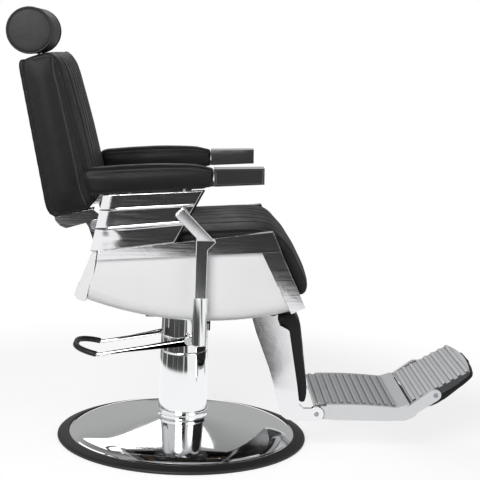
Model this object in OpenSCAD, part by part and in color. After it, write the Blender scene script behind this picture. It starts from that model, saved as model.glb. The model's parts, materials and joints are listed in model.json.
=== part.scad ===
// Hydraulic barber chair: round base, lifting column, seat with polished side frames,
// reclining back with a roll headrest, leg rest and folding foot rest.
// +X is the way the sitter faces, +Y the sitter's left, +Z up. Millimetres.

/* [Base] */
// Radius of the base over its rubber ring
base_r = 330; // [290:5:380]
// Width of the rubber ring seen from above
ring_w = 30; // [20:1:45]
// Height of the dome where the column stands on it
dome_h = 60; // [45:1:80]
// Wall of the dome
dome_wall = 3; // [2:0.5:4]
// Thickness of the ballast plate
ballast_h = 11; // [8:1:16]

/* [Column] */
// Radius of the column's foot
tube_r = 64.5; // [62:0.5:72]
// Radius of the column's head at its seam
head_r = 61.5; // [58:0.5:62]
// Height of the seam between the fixed tube and the turning head
seam_z = 238; // [200:2:280]
// Height of the head above the seam
head_h = 94; // [85:1:120]
// Radius of the pump cylinder
pump_r = 34; // [32:0.5:37]
// Radius of the ram
ram_r = 25; // [20:0.5:26]
// Wall of the column's chromed covers
cover_wall = 2; // [1.5:0.25:3]

/* [Pump lever] */
// Diameter of the lever's rod
rod_d = 10; // [8:1:14]
// Half the distance between the lever's two sides
lever_gap = 75; // [72:1:90]
// Length of a side from its pivot to the bend
lever_len = 238; // [180:2:280]
// Fall of the lever's sides towards the back, in degrees
lever_fall = 10.5; // [5:0.5:16]
// Diameter of the rubber grip
grip_d = 15; // [14:1:24]

/* [Seat frame] */
// Height from the mounting plate up to the seat board
seat_rise = 178; // [175:1:205]
// Backward tilt of the seat in degrees
seat_tilt = 4.2; // [2:0.2:6]
// Reach of the seat frame behind the column
rear_reach = 216; // [210:1:230]
// Reach of the side rails in front of the column
front_reach = 227; // [222:1:245]
// Half the width over the side rails
rail_half_w = 284; // [276:1:310]
// Thickness of the side rails
rail_t = 22; // [16:1:26]
// Height of the rail at its back end
rail_back_h = 21; // [16:1:28]
// Height of the rail at its front end
rail_front_h = 49; // [40:1:60]
// Depth of the white shells under the rails
shell_depth = 171; // [158:1:180]
// Wall of the white shells
shell_wall = 3; // [2:0.5:5]
// Thickness of the steel frame plates
plate_t = 6; // [4:1:8]

/* [Seat] */
// Half the width of the cushion
cushion_half_w = 237; // [215:1:238]
// Height of the cushion over its board
cushion_h = 57; // [45:1:75]
// Thickness of the moulded seat board
board_t = 12; // [8:1:15]

/* [Arms] */
// Height of the ribbed side panels above the seat frame
panel_top = 156; // [146:1:175]
// Thickness of the ribbed side panels
panel_t = 12; // [8:1:16]
// Height of the arm pads
pad_h = 61; // [44:1:66]
// Width of the arm pads
pad_w = 55; // [48:1:64]
// Length of the aluminium arm tip in front of the pad
tip_len = 118; // [90:1:130]

/* [Recline lever] */
// Width of the lever's flat bar
bar_w = 27; // [20:1:32]
// Diameter of the round handle
handle_d = 36; // [28:1:40]
// Length of the round handle
handle_len = 116; // [90:1:130]

/* [Backrest] */
// Lean of the backrest in degrees
back_lean = 13.5; // [8:0.5:20]
// Half the width of the backrest
back_half_w = 220; // [212:1:235]
// Height of the backrest cushion
back_h = 393; // [340:1:450]
// Thickness of the backrest cushion at its edge
back_t = 100; // [85:1:112]

/* [Headrest] */
// Radius of the headrest roll
roll_r = 58; // [45:1:65]
// Half the length of the headrest roll
roll_half = 104; // [80:1:130]

/* [Leg rest] */
// Half the width over the leg rest's arms
leg_half_w = 162; // [150:1:176]
// Thickness of a leg rest arm
leg_arm_t = 14; // [10:1:18]
// Height of the leg rest's pivot above the foot rest's pivot
leg_drop = 277; // [265:1:300]

/* [Foot rest] */
// Length from the foot rest's pivot to the tip plate's pivot
foot_len = 304; // [290:1:330]
// Number of ribs on the foot plate
rib_count = 11; // [7:1:14]
// Upward slope of the tip plate in degrees
tip_slope = 30; // [22:1:36]
// Length of the tip plate in front of its pivot
tip_front = 104; // [80:1:110]

/* [Hidden] */
$fn = 72;

// Clearances
fit = 0.05;          // radial clearance of a running fit
loose = 0.3;         // gap between pieces that only lie beside each other

// Base
ring_foot_h = 6;     // the ring's foot, on which the dome's edge stands
ring_foot_w = 8;
ring_h = ballast_h + dome_wall + 2;
dome_r = base_r - ring_w;
dome_flat_r = tube_r + 6;
dome_steps = 14;
ballast_r = dome_r - ring_foot_w - loose;
bush_t = 4;
socket_in_r = pump_r + bush_t;
socket_r = socket_in_r + 6;
flange_r = socket_r + 56;
flange_h = 12;
flange_bolt_r = flange_r - 18;
bearing_h = 8;
collar_h = 20;
collar_t = 3;

// Column head
head_bottom = seam_z + 1;
head_top = seam_z + head_h;
head_top_r = head_r - 1.3;
block_r = head_top_r - cover_wall - 0.5;
ram_foot = dome_h + 2;
guide_h = 34;
guide_t = 6;
stud_r = 8;
stud_at = [12, seam_z + 38];
window_h = 20;
window_w = 14;
window_turn = 138;
plunger_r = 8;
plunger_x = -(ram_r + guide_t + plunger_r + 3);
lock_z = head_top - 24;
lock_stud_r = 3;

// Pump lever
eye_r = 13;
grip_rise = 12;
rod_r = rod_d / 2;
loop_r = 58;                         // radius of the loop's corners
loop_run = 6;                        // length between the bend and a corner
elbow_r = 25;                        // radius of the rod's bend
elbow_turn = lever_fall + grip_rise;
elbow_run = elbow_r * tan(elbow_turn / 2);
elbow_swell = 0.2;                   // the rod is forged a little thicker in its bend
elbow_lap = 2;                       // length of the straight rod inside its bend

// Seat frame
plate_gap = 22;
plate_z = head_top + plate_gap;
mount_t = 8;
mount_half = 105;
mount_bolt_at = 78;
channel = 40;
channel_wall = 3;
seat_z = plate_z + seat_rise;
tube_w = 40;
tube_h = 30;
tube_at = 120;
plate_in = 186;
bracket_in = plate_in + plate_t + 2;
bracket_t = 8;
back_pivot = [-rear_reach - 4, 74];
leg_pivot = [207, -158];
lever_pivot = [35, -17];
ear_r = 20;
pivot_r = 9;
leg_shaft_r = 10;
lever_shaft_r = 7;
leg_slope = 21;                      // slant of the front legs from the vertical
leg_w = 42;
leg_len = shell_depth - 17;
rail_in = rail_half_w - rail_t;
shell_half_w = rail_half_w - 14;
shell_arc = 838;                     // radius of the shells' rounded belly
belly_x = 85;                        // lowest point of the belly, in front of the column
lip_r = 34;
lip_w = 66;
rear_top = [-rear_reach - 8, 23];
seam_top = -rear_reach - 0.5;
rear_foot = [-rear_reach - 60, 81 - shell_depth];
seam_foot = [-rear_reach - 34, 69 - shell_depth];
rear_base = [rear_foot + [7, -6], seam_foot + [1, 0]];    // ends of the rear shell's bottom edge
screw_r = 5;
screw_h = 6;

// Seat
board_rear = -rear_reach + 20;
board_front = front_reach - 12;
flap_len = 134;
flap_t = 42;

// Arms
panel_out = rail_half_w + 3;
liner_t = 14;
arm_out = rail_half_w + 16;
arm_in = arm_out - pad_w;
pad_rear = -rear_reach - 22;
pad_front = 73;
pad_round = 10;
tip_h = 42;
tongue_w = 30;
tongue_len = 200;                    // reach of the tip's tongue behind the column
arm_bolts = [-130, 0];
tongue_h = 12;
tongue_z = panel_top + 10;

// Recline lever
bar_t = 10;
bar_in = rail_half_w + 11;           // inner face of the flat bar
bar_front = 47;                      // front edge of the bar's upright length
bar_nose = [67, 35.5];               // front corner of its slanting length
bar_arm = 113;
handle_top = -99;
shell_bore_gap = 1;

// Lock strut
strut_foot = [-118, -62];
strut_ear_in = 14;
strut_pin_r = 5;
strut_r = 13;
strut_body = 205;
strut_rod_r = 6;
crank = [-10, 59];                   // pin of the leg rest's crank, from its pivot
strut_from = seat_point(strut_foot);
strut_to = seat_point(leg_pivot) + [crank[0], 0, crank[1]];
strut_len = norm(strut_to - strut_from);
strut_dir = atan2(strut_to[2] - strut_from[2], strut_to[0] - strut_from[0]);

// Backrest and headrest
back_foot = 40;
back_front = 4;
back_crown = 18;
back_flare = 14;                     // how much deeper the cushion is at its foot than at its top
board_inset = 20;
back_board_t = 8;
post_w = 30;
post_t = 8;
post_gap = 0.1;                      // sliding clearance of the post in its socket
socket_wall = 4;
socket_deep = 150;
post_x = -66;
roll_z = back_foot + back_h + roll_r + 2.5;
core_r = 13;
cap_t = 5;

// Leg rest, foot rest and tip plate
leg_out = leg_half_w;
leg_in = leg_half_w - leg_arm_t;
foot_pivot = [124, -leg_drop];
foot_end_r = 19;
pin_r = 6;
tip_pivot = [foot_len, 57];
rib_h = 3;
rib_w = 9;
deck_t = 5;
deck_start = -4;
deck_end = foot_len - 98;
deck_wide = 25;                      // from here on the deck covers the side rails
tip_half_w = leg_in - 2;
tip_back = 63;
tip_low = 5;                         // height of the tip plate's underside over its pivot
tip_bow = 15;
tip_rib_count = 8;

// Frames of reference -----------------------------------------------------------------------------

// The seat frame leans back about the column; its z = 0 is the underside of the seat board
module on_seat() {
  translate([0, 0, seat_z]) rotate([0, -seat_tilt, 0]) children();
}

function seat_point(p) = [p[0] * cos(seat_tilt) - p[1] * sin(seat_tilt), 0,
                          seat_z + p[0] * sin(seat_tilt) + p[1] * cos(seat_tilt)];

// The backrest's own frame stands on its pivot
module on_back() {
  translate(seat_point(back_pivot)) rotate([0, -back_lean, 0]) children();
}

// The leg rest's own frame hangs from its pivot
module on_leg() {
  translate(seat_point(leg_pivot)) children();
}

module on_foot() {
  on_leg() translate([foot_pivot[0], 0, foot_pivot[1]]) children();
}

module on_tip() {
  on_foot() translate([tip_pivot[0], 0, tip_pivot[1]]) rotate([0, -tip_slope, 0]) children();
}

// A side profile, drawn in X and Z, extruded from y0 to y1
module slab(y0, y1) {
  translate([0, y1, 0]) rotate([90, 0, 0]) linear_extrude(y1 - y0) children();
}

// A round bar along Y at p = [x, z], from y0 to y1
module bar_y(p, r, y0, y1) {
  translate([p[0], y1, p[1]]) rotate([90, 0, 0]) cylinder(r = r, h = y1 - y0);
}

// The sitter's right side lies at -Y, the left side is its mirror image
module left_side() {
  mirror([0, 1, 0]) children();
}

module both_sides() {
  children();
  mirror([0, 1, 0]) children();
}

module ring_at(z, r_in, r_out, h) {
  translate([0, 0, z]) difference() {
    cylinder(r = r_out, h = h);
    translate([0, 0, -1]) cylinder(r = r_in, h = h + 2);
  }
}

// A hexagon-headed bolt standing on z = 0 with its shank down
module bolt(shank_r, shank_len, head_h) {
  cylinder(r = shank_r * 1.8, h = head_h, $fn = 6);
  translate([0, 0, -shank_len]) cylinder(r = shank_r, h = shank_len);
}

// Base --------------------------------------------------------------------------------------------

function dome_at(k) = let (r = dome_r - 6 - k * (dome_r - 6 - dome_flat_r))
  [r, ring_h + (dome_h - ring_h) * pow(k, 0.94)];

module base_dome() {
  color("silver") rotate_extrude() polygon(concat(
    [[dome_r - loose, ring_foot_h], [dome_r - loose, ring_h - 2.5], [dome_r - 2, ring_h - 0.6]],
    [for (i = [0:dome_steps]) dome_at(i / dome_steps)],
    [[socket_r + 1, dome_h], [socket_r + 1, dome_h - dome_wall]],
    [for (i = [dome_steps:-1:0]) dome_at(i / dome_steps) - [0, dome_wall]],
    [[dome_r - loose - dome_wall, ring_h - dome_wall - 1.5], [dome_r - loose - dome_wall, ring_foot_h]]));
}

module base_ring() {
  color("#161616") rotate_extrude() polygon([
    [dome_r - ring_foot_w, 0], [base_r - 3, 0], [base_r - 0.8, 1.2], [base_r, 4], [base_r - 1.2, 7],
    [base_r - 4, 9], [dome_r + 4, ring_h + 0.5], [dome_r + 1, ring_h + 0.5], [dome_r, ring_h - 1],
    [dome_r, ring_foot_h], [dome_r - ring_foot_w, ring_foot_h]]);
}

module ballast_plate() {
  color("dimgray") cylinder(r = ballast_r, h = ballast_h);
}

module at_flange_bolts() {
  for (a = [0:60:300]) rotate([0, 0, a]) translate([flange_bolt_r, 0, 0]) children();
}

module column_socket() {
  color("gray") difference() {
    union() {
      translate([0, 0, ballast_h]) cylinder(r = flange_r, h = flange_h);
      translate([0, 0, ballast_h]) cylinder(r = socket_r, h = seam_z - 2 - ballast_h);
    }
    translate([0, 0, ballast_h - 1]) cylinder(r = socket_in_r, h = seam_z);
    at_flange_bolts() translate([0, 0, ballast_h - 1]) cylinder(r = 5, h = flange_h + 2);
  }
}

module socket_bolts() {
  color("gray") at_flange_bolts() translate([0, 0, ballast_h + flange_h]) bolt(5, flange_h, 6.5);
}

// Two bronze bushes and the thrust ring that the pump turns in
module socket_bearings() {
  color("darkgoldenrod") {
    ring_at(seam_z - 42, pump_r + fit, socket_in_r, 40);
    ring_at(ballast_h + bearing_h + 6, pump_r + fit, socket_in_r, 30);
    ring_at(ballast_h, pump_r - 14, socket_in_r, bearing_h);
  }
}

module column_tube() {
  color("silver") rotate_extrude() polygon([
    [tube_r, dome_h], [head_r + 0.5, seam_z - 1], [head_r - 0.5, seam_z],
    [socket_r + loose, seam_z], [socket_r + loose, seam_z - 4], [head_r + 0.5 - cover_wall, seam_z - 4],
    [tube_r - cover_wall, dome_h]]);
}

module base_collar() {
  color("silver") rotate_extrude() polygon([
    [tube_r + loose, dome_h], [tube_r + collar_t, dome_h], [tube_r + collar_t, dome_h + 2],
    [tube_r + collar_t - 1, dome_h + 4], [tube_r + collar_t - 1, dome_h + collar_h - 5],
    [tube_r + collar_t, dome_h + collar_h - 3], [tube_r + collar_t - 0.5, dome_h + collar_h],
    [tube_r + loose, dome_h + collar_h]]);
}

// Pump --------------------------------------------------------------------------------------------

module pump_body() {
  color("dimgray") difference() {
    union() {
      translate([0, 0, ballast_h + bearing_h + fit]) cylinder(r = pump_r, h = seam_z - ballast_h);
      translate([0, 0, head_bottom + 1]) cylinder(r = block_r, h = head_top - cover_wall - head_bottom - 1);
    }
    translate([0, 0, ram_foot - 4]) cylinder(r = ram_r + 2, h = head_top);
    translate([0, 0, head_top - cover_wall - guide_h]) cylinder(r = ram_r + guide_t, h = guide_h + 5);
    translate([plunger_x, 0, seam_z + 24]) cylinder(r = plunger_r + fit, h = head_h);
    both_sides() bar_y(stud_at, stud_r, -block_r - 5, -block_r + 12);
    translate([block_r - 9, 0, lock_z]) rotate([0, 90, 0]) cylinder(r = lock_stud_r + fit, h = 20);
  }
}

module head_cover() {
  color("silver") difference() {
    rotate_extrude() polygon([
      [head_r, head_bottom], [head_r, head_bottom + 34], [head_r - 0.6, head_bottom + 35],
      [head_r - 0.6, head_bottom + 38], [head_r - 0.1, head_bottom + 39], [head_top_r, head_top - 1],
      [head_top_r - 1, head_top], [ram_r + 9, head_top], [ram_r + 9, head_top - cover_wall],
      [head_top_r - cover_wall, head_top - cover_wall], [head_r - cover_wall - 0.6, head_bottom + 38],
      [head_r - cover_wall - 0.6, head_bottom]]);
    for (s = [-1, 1]) rotate([0, 0, s * window_turn])
      translate([head_r - 8, -window_w / 2, head_top - 51]) cube([16, window_w, window_h]);
    both_sides() bar_y(stud_at, stud_r + loose, -head_r - 5, -head_r + 12);
    translate([head_top_r - 9, 0, lock_z]) rotate([0, 90, 0]) cylinder(r = lock_stud_r + loose, h = 20);
  }
}

module ram_bush() {
  color("darkgoldenrod")
    ring_at(head_top - cover_wall - guide_h, ram_r + fit, ram_r + guide_t, guide_h);
}

module ram_seal() {
  color("black") ring_at(head_top - cover_wall, ram_r + fit, ram_r + 9 - loose, cover_wall + 3);
}

module lever_studs() {
  color("silver") both_sides() {
    bar_y(stud_at, stud_r, -lever_gap - rod_r - 1, -block_r + 12);
    bar_y(stud_at, stud_r + 3, -lever_gap - rod_r - 5, -lever_gap - rod_r - 1);
  }
}

module pump_plunger() {
  color("gray") translate([plunger_x, 0, seam_z + 38]) cylinder(r = plunger_r, h = 38);
}

module at_lever_bend() {
  translate([stud_at[0], 0, stud_at[1]]) rotate([0, -lever_fall, 0]) translate([-lever_len, 0, 0])
    rotate([0, lever_fall, 0]) children();
}

// The bend of a side, where its rod turns up into the loop
module lever_elbow() {
  at_lever_bend() rotate([0, (lever_fall - grip_rise) / -2, 0])
    translate([0, -lever_gap, elbow_r / cos(elbow_turn / 2)]) rotate([90, 0, 0])
      rotate([0, 0, -90 - elbow_turn / 2]) rotate_extrude(angle = elbow_turn)
        translate([elbow_r, 0]) circle(r = rod_r + elbow_swell);
}

// The loop at the lever's end, with its round corners, starting at a distance behind the bend
module lever_loop(r, start) {
  cross = lever_gap - loop_r;
  at_lever_bend() rotate([0, grip_rise, 0]) {
    both_sides() {
      translate([-start, -lever_gap, 0]) rotate([0, -90, 0]) cylinder(r = r, h = loop_run - start);
      translate([-loop_run, -cross, 0]) rotate([0, 0, 180]) rotate_extrude(angle = 90)
        translate([loop_r, 0]) circle(r = r);
    }
    bar_y([-loop_run - loop_r, 0], r, -cross, cross);
  }
}

module lever_rod() {
  color("silver") difference() {
    union() {
      both_sides() {
        bar_y(stud_at, eye_r, -lever_gap - rod_r, -lever_gap + rod_r);
        translate([stud_at[0], -lever_gap, stud_at[1]]) rotate([0, -90 - lever_fall, 0])
          cylinder(r = rod_r, h = lever_len - elbow_run + elbow_lap);
        lever_elbow();
      }
      lever_loop(rod_r, elbow_run - elbow_lap);
    }
    both_sides() bar_y(stud_at, stud_r + fit, -lever_gap - 20, -lever_gap + 20);
  }
}

module lever_grip() {
  color("#161616") difference() {
    lever_loop(grip_d / 2, elbow_run);
    lever_loop(rod_r, 0);
  }
}

// Black hook that locks the swivel, turning on a stud in the head
module lock_lever() {
  color("#161616") translate([0, 0, lock_z]) {
    translate([block_r - 9, 0, 0]) rotate([0, 90, 0]) cylinder(r = lock_stud_r, h = head_r - block_r + 14);
    translate([head_r + 0.5, 0, 0]) rotate([0, 90, 0]) linear_extrude(5) union() {
      circle(r = 7);
      translate([0, -4]) square([20, 8]);
      translate([14, -4]) square([6, 13]);
    }
  }
}

// Seat frame --------------------------------------------------------------------------------------

module ram() {
  color("silver") translate([0, 0, ram_foot]) cylinder(r = ram_r, h = plate_z - ram_foot);
}

module at_mount_bolts() {
  for (x = [-1, 1], y = [-1, 1]) translate([x * mount_bolt_at, y * mount_bolt_at, 0]) children();
}

module mount_plate() {
  color("dimgray") difference() {
    translate([-mount_half, -mount_half, plate_z]) cube([2 * mount_half, 2 * mount_half, mount_t]);
    at_mount_bolts() translate([0, 0, plate_z - 1]) cylinder(r = 5, h = mount_t + 2);
  }
}

// Two square tubes across the mounting plate and two flatter ones under the seat board,
// with the ears of the lock strut welded under the rear one
module frame_tubes() {
  color("dimgray") {
    on_seat() both_sides() slab(-strut_ear_in - 5, -strut_ear_in) difference() {
      union() {
        translate([strut_foot[0] - 11, strut_foot[1]]) square([22, -tube_h - strut_foot[1]]);
        translate(strut_foot) circle(r = 11);
      }
      translate(strut_foot) circle(r = strut_pin_r + fit);
    }
    for (x = [-1, 1]) translate([x * mount_bolt_at - channel / 2, -plate_in - plate_t, plate_z + mount_t])
      difference() {
        cube([channel, 2 * (plate_in + plate_t), channel]);
        translate([channel_wall, -1, channel_wall])
          cube([channel - 2 * channel_wall, 2 * (plate_in + plate_t) + 2, channel - 2 * channel_wall]);
      }
    on_seat() for (x = [-1, 1]) translate([x * tube_at - tube_w / 2, -rail_in, -tube_h]) difference() {
      cube([tube_w, 2 * rail_in, tube_h]);
      translate([channel_wall, -1, channel_wall])
        cube([tube_w - 2 * channel_wall, 2 * rail_in + 2, tube_h - 2 * channel_wall]);
    }
  }
}

module frame_plate_profile() {
  difference() {
    union() {
      polygon([[-rear_reach + 4, 0], [-rear_reach - 8, -50], [-rear_reach + 12, -100], [-150, -122],
               [-100, -150], [110, -150], leg_pivot - [20, 10], leg_pivot + [18, 0],
               [leg_pivot[0] + 12, -60], [board_front - 20, 0]]);
      polygon([[back_pivot[0] - ear_r + 1, back_pivot[1] - 6], [-rear_reach + 2, -20],
               [-rear_reach + 17, -20], [back_pivot[0] + ear_r - 1, back_pivot[1] - 6]]);
      translate(back_pivot) circle(r = ear_r);
      translate(leg_pivot) circle(r = 18);
    }
    for (x = [-1, 1]) translate([x * tube_at - tube_w / 2, -tube_h]) square([tube_w, tube_h + 5]);
    translate(back_pivot) circle(r = pivot_r);
    translate(leg_pivot) circle(r = leg_shaft_r + fit);
  }
}

module frame_plates() {
  level = plate_z + mount_t + channel;
  color("dimgray") both_sides() difference() {
    on_seat() slab(-plate_in - plate_t, -plate_in) difference() {
      frame_plate_profile();
      translate(lever_pivot) circle(r = lever_shaft_r + fit);
    }
    translate([-mount_half - 40, -rail_half_w, level - shell_depth])
      cube([2 * mount_half + 80, 2 * rail_half_w, shell_depth]);
  }
}

// Height of the rail's sloping top edge at x
function rail_top(x) = rail_back_h + (x + rear_reach - 4) * (rail_front_h - rail_back_h)
                       / (front_reach + rear_reach - 22);

// Point on the rail's top edge, where the side panels stand
function rail_seat(x) = [x, rail_top(x)];

module side_rail() {
  fall = leg_len * tan(leg_slope);
  on_seat() difference() {
    union() {
      slab(-rail_half_w, -rail_in) polygon([[-rear_reach, 0], [front_reach, 0],
        [front_reach - 18, rail_front_h], [-rear_reach + 4, rail_back_h]]);
      slab(-rail_half_w + 3, -rail_in) polygon([[front_reach - leg_w - 5, 0], [front_reach - 1, 0],
        [front_reach + fall - 5, -leg_len + 14], [front_reach + fall - 40, -leg_len]]);
      for (x = [-1, 1]) translate([x * tube_at - tube_w / 2, -rail_in, 0])
        cube([tube_w, rail_in - cushion_half_w - 1, 6]);
    }
    for (x = [-1, 1]) translate([x * tube_at, -rail_in + 12, -1]) cylinder(r = 4, h = 9);
  }
}

module side_rail_right() {
  color("gainsboro") side_rail();
}

module side_rail_left() {
  color("gainsboro") left_side() side_rail();
}

// Bolts of the mounting plate, of the rails on the frame and of the arm tongues on the side panels
module frame_bolts() {
  color("gray") at_mount_bolts() translate([0, 0, plate_z]) mirror([0, 0, 1]) bolt(5, mount_t, 6.5);
  color("gray") both_sides() on_seat() {
    for (x = [-1, 1]) translate([x * tube_at, -rail_in + 12, 6]) bolt(4, 6, 5);
    for (x = arm_bolts) translate([x, arm_bolt_y(), tongue_z + tongue_h]) bolt(4, tongue_h + 30, 4);
  }
}

function arm_bolt_y() = -panel_out + panel_t / 2;

// Shells ------------------------------------------------------------------------------------------

function belly_z(x) = shell_arc - shell_depth - sqrt(pow(shell_arc, 2) - pow(x - belly_x, 2));

// Region of the side shells between the rail, the front leg and the rear shell's seam
module shell_region() {
  fall = leg_len * tan(leg_slope);
  polygon(concat(
    [[front_reach - leg_w - 5 - loose, 0], [seam_top + 1, 0], [seam_top - 9, -36],
     [(seam_top + seam_foot[0]) / 2 - 3, -60]],
    [for (x = [seam_foot[0] + 3:28:front_reach + fall - 44]) [x, belly_z(x)]],
    [[front_reach + fall - 40 - loose - 1, -leg_len]]));
}

module side_shell() {
  on_seat() {
    intersection() {
      slab(-shell_half_w, 0) shell_region();
      translate([belly_x, 0, shell_arc - shell_depth]) rotate([90, 0, 0])
        rotate_extrude() shell_section();
    }
  }
}

// Section of the belly: upright wall, rounded lip and flat underside
module shell_section() {
  translate([shell_arc - shell_depth - 60, shell_half_w - shell_wall])
    square([shell_depth + 60 - lip_r, shell_wall]);
  translate([shell_arc - lip_r, shell_half_w - lip_r]) intersection() {
    difference() {
      circle(r = lip_r);
      circle(r = lip_r - shell_wall);
    }
    square(lip_r);
  }
  translate([shell_arc - shell_wall, shell_half_w - lip_w]) square([shell_wall, lip_w - lip_r]);
}

// The right shell has the hole for the recline shaft
module side_shell_right() {
  color("white") difference() {
    side_shell();
    on_seat() bar_y(lever_pivot, lever_shaft_r + shell_bore_gap, -rail_half_w, -shell_half_w + 30);
  }
}

module side_shell_left() {
  color("white") left_side() side_shell();
}

module rear_shell() {
  seam = [(seam_top + seam_foot[0]) / 2 - 4, -62];
  color("white") on_seat() difference() {
    slab(-shell_half_w, shell_half_w) polygon([rear_top, rear_foot + [0, 8], rear_base[0], rear_base[1],
      seam, [seam_top - 10, -38], [seam_top, 14], [seam_top, 20]]);
    // slots for the frame plates
    both_sides() slab(-plate_in - plate_t - loose, -plate_in + loose)
      translate([-rear_reach - 14, -12]) square([40, 40]);
    slab(-shell_half_w + shell_wall, shell_half_w - shell_wall) translate([shell_wall + 0.5, 0])
      polygon([rear_top + [0, 5], rear_foot + [1, 8 + shell_wall], seam_foot + [0, shell_wall - 4],
        [seam_top + 40, seam[1]], [seam_top + 40, 20]]);
  }
}

module shell_screws() {
  at = (rear_base[0] + rear_base[1]) / 2;
  run = rear_base[1] - rear_base[0];
  color("#202020") on_seat() both_sides() translate([at[0], -shell_half_w + 40, at[1]])
    rotate([0, atan2(-run[1], run[0]), 0]) translate([0, 0, -screw_h]) cylinder(r = screw_r, h = screw_h);
}

// Side panels and arms ----------------------------------------------------------------------------

module side_panel() {
  lean_back = [-rear_reach - 15, -rear_reach + 24];
  front = [-30, 45];
  steps = [[0, 0], [0.40, 2], [0.73, 4]];
  on_seat() difference() {
    union() {
      slab(-panel_out + 4, -panel_out + panel_t) polygon([[lean_back[0], rail_top(lean_back[0] + 19)],
        rail_seat(4 - rear_reach), rail_seat(front[0]), [front[1], panel_top], [lean_back[1], panel_top]]);
      for (s = steps) slab(-panel_out + 4 - s[1], -panel_out + 5) panel_step(s[0], lean_back, front);
    }
    for (x = arm_bolts) translate([x, arm_bolt_y(), panel_top - 21]) cylinder(r = 4, h = 30);
  }
}

function lerp(a, b, k) = a + (b - a) * k;

// One of the stepped fields of the side panel, from the height share k to its top
module panel_step(k, rear, front) {
  low = lerp(rail_back_h + 12, panel_top, k) + 1;
  inset = k == 0 ? 10 : 14;
  polygon([[lerp(rear[0], rear[1], k) + inset, low], [lerp(front[0], front[1], k) - 2, low],
           [front[1] - 2, panel_top], [rear[1] + 12, panel_top]]);
}

module side_panel_right() {
  color("gainsboro") side_panel();
}

module side_panel_left() {
  color("gainsboro") left_side() side_panel();
}

module panel_liners() {
  color("#161616") both_sides() on_seat() slab(-panel_out + panel_t, -panel_out + panel_t + liner_t)
    polygon([rail_seat(-rear_reach + 5), rail_seat(-24), [51, panel_top], [-rear_reach + 30, panel_top]]);
}

module arm_tip() {
  on_seat() difference() {
    union() {
      slab(-arm_out, -arm_in) polygon([[pad_front, tongue_z], [pad_front + tip_len, tongue_z],
        [pad_front + tip_len + 2, tongue_z + tip_h - 4], [pad_front, tongue_z + tip_h]]);
      translate([-tongue_len, -panel_out - 6, tongue_z]) cube([pad_front + tongue_len, tongue_w, tongue_h]);
    }
    // shallow recess in the outer face, and the hollow underside
    slab(-arm_out - 1, -arm_out + 3) polygon([
      [pad_front + 4, tongue_z + 4], [pad_front + tip_len - 4, tongue_z + 4],
      [pad_front + tip_len - 2, tongue_z + tip_h - 8], [pad_front + 4, tongue_z + tip_h - 4]]);
    slab(-arm_out + 6, -arm_in - 6) polygon([
      [pad_front + 6, tongue_z - 9], [pad_front + tip_len - 6, tongue_z - 9],
      [pad_front + tip_len - 6, tongue_z + tip_h - 10], [pad_front + 6, tongue_z + tip_h - 10]]);
    for (x = arm_bolts) translate([x, arm_bolt_y(), tongue_z - 5]) cylinder(r = 4, h = 30);
  }
}

module arm_tip_right() {
  color("gainsboro") arm_tip();
}

module arm_tip_left() {
  color("gainsboro") left_side() arm_tip();
}

// Side profile of the arm pad, smaller all round by inset
module arm_pad_profile(inset) {
  top = panel_top + pad_h;
  polygon([[pad_rear + inset, panel_top + 42], [pad_rear + 8 + inset, panel_top + 16 + inset],
    [pad_rear + 19 + inset, panel_top + inset], [pad_front - loose - inset, panel_top + 5 + inset],
    [pad_front - loose - inset, top - 9 - inset], [pad_front - 40, top + 3 - inset],
    [-60, top + 8 - inset], [pad_rear + 14 + inset, top + 5 - inset], [pad_rear + 3 + inset, top - 2 - inset],
    [pad_rear + inset, top - 10 - inset]]);
}

module arm_pad() {
  on_seat() difference() {
    hull() {
      slab(-arm_out, -arm_in) arm_pad_profile(pad_round);
      slab(-arm_out + 3, -arm_in - 3) arm_pad_profile(pad_round * 0.3);
      slab(-arm_out + pad_round, -arm_in - pad_round) arm_pad_profile(0);
    }
    translate([-tongue_len - loose, -panel_out - 6 - loose, tongue_z])
      cube([tongue_len + pad_front, tongue_w + 2 * loose, tongue_h + 5]);
    for (x = arm_bolts) translate([x, arm_bolt_y(), panel_top - 5]) cylinder(r = 4.5, h = 30);
  }
}

module arm_pad_right() {
  color("#161616") arm_pad();
}

module arm_pad_left() {
  color("#161616") left_side() arm_pad();
}

// Seat --------------------------------------------------------------------------------------------

function down_leg(p, along, out) = p + [along * sin(leg_slope) + out * cos(leg_slope),
                                        -along * cos(leg_slope) + out * sin(leg_slope)];

module seat_board() {
  front = [board_front, board_t];
  color("burlywood") on_seat() slab(-cushion_half_w + 1, cushion_half_w - 1) polygon([
    [board_rear, 0], [board_rear, board_t], front, down_leg(front, flap_len, 0),
    down_leg(front, flap_len, -board_t), [board_front - board_t, 0]]);
}

// Profile of the seat cushion's top, h high over the board
module cushion_top(h) {
  polygon([[board_rear + 2, board_t], [board_rear + 2, board_t + h - 14],
    [board_rear + 12, board_t + h - 3], [0, board_t + h], [board_front - 34, board_t + h],
    [board_front - 10, board_t + h - 8], [board_front + 10, board_t + h - 26],
    down_leg([board_front, board_t], 0, flap_t - 12), [board_front, board_t]]);
}

// Profile of the flap that hangs down in front, t thick
module cushion_flap(t) {
  front = [board_front, board_t];
  polygon([down_leg(front, 0, 0), down_leg(front, 0, t - 12), down_leg(front, 26, t - 2),
    down_leg(front, flap_len - 16, t), down_leg(front, flap_len, t - 6),
    down_leg(front, flap_len + 8, t - 16), down_leg(front, flap_len + 4, loose)]);
}

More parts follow.
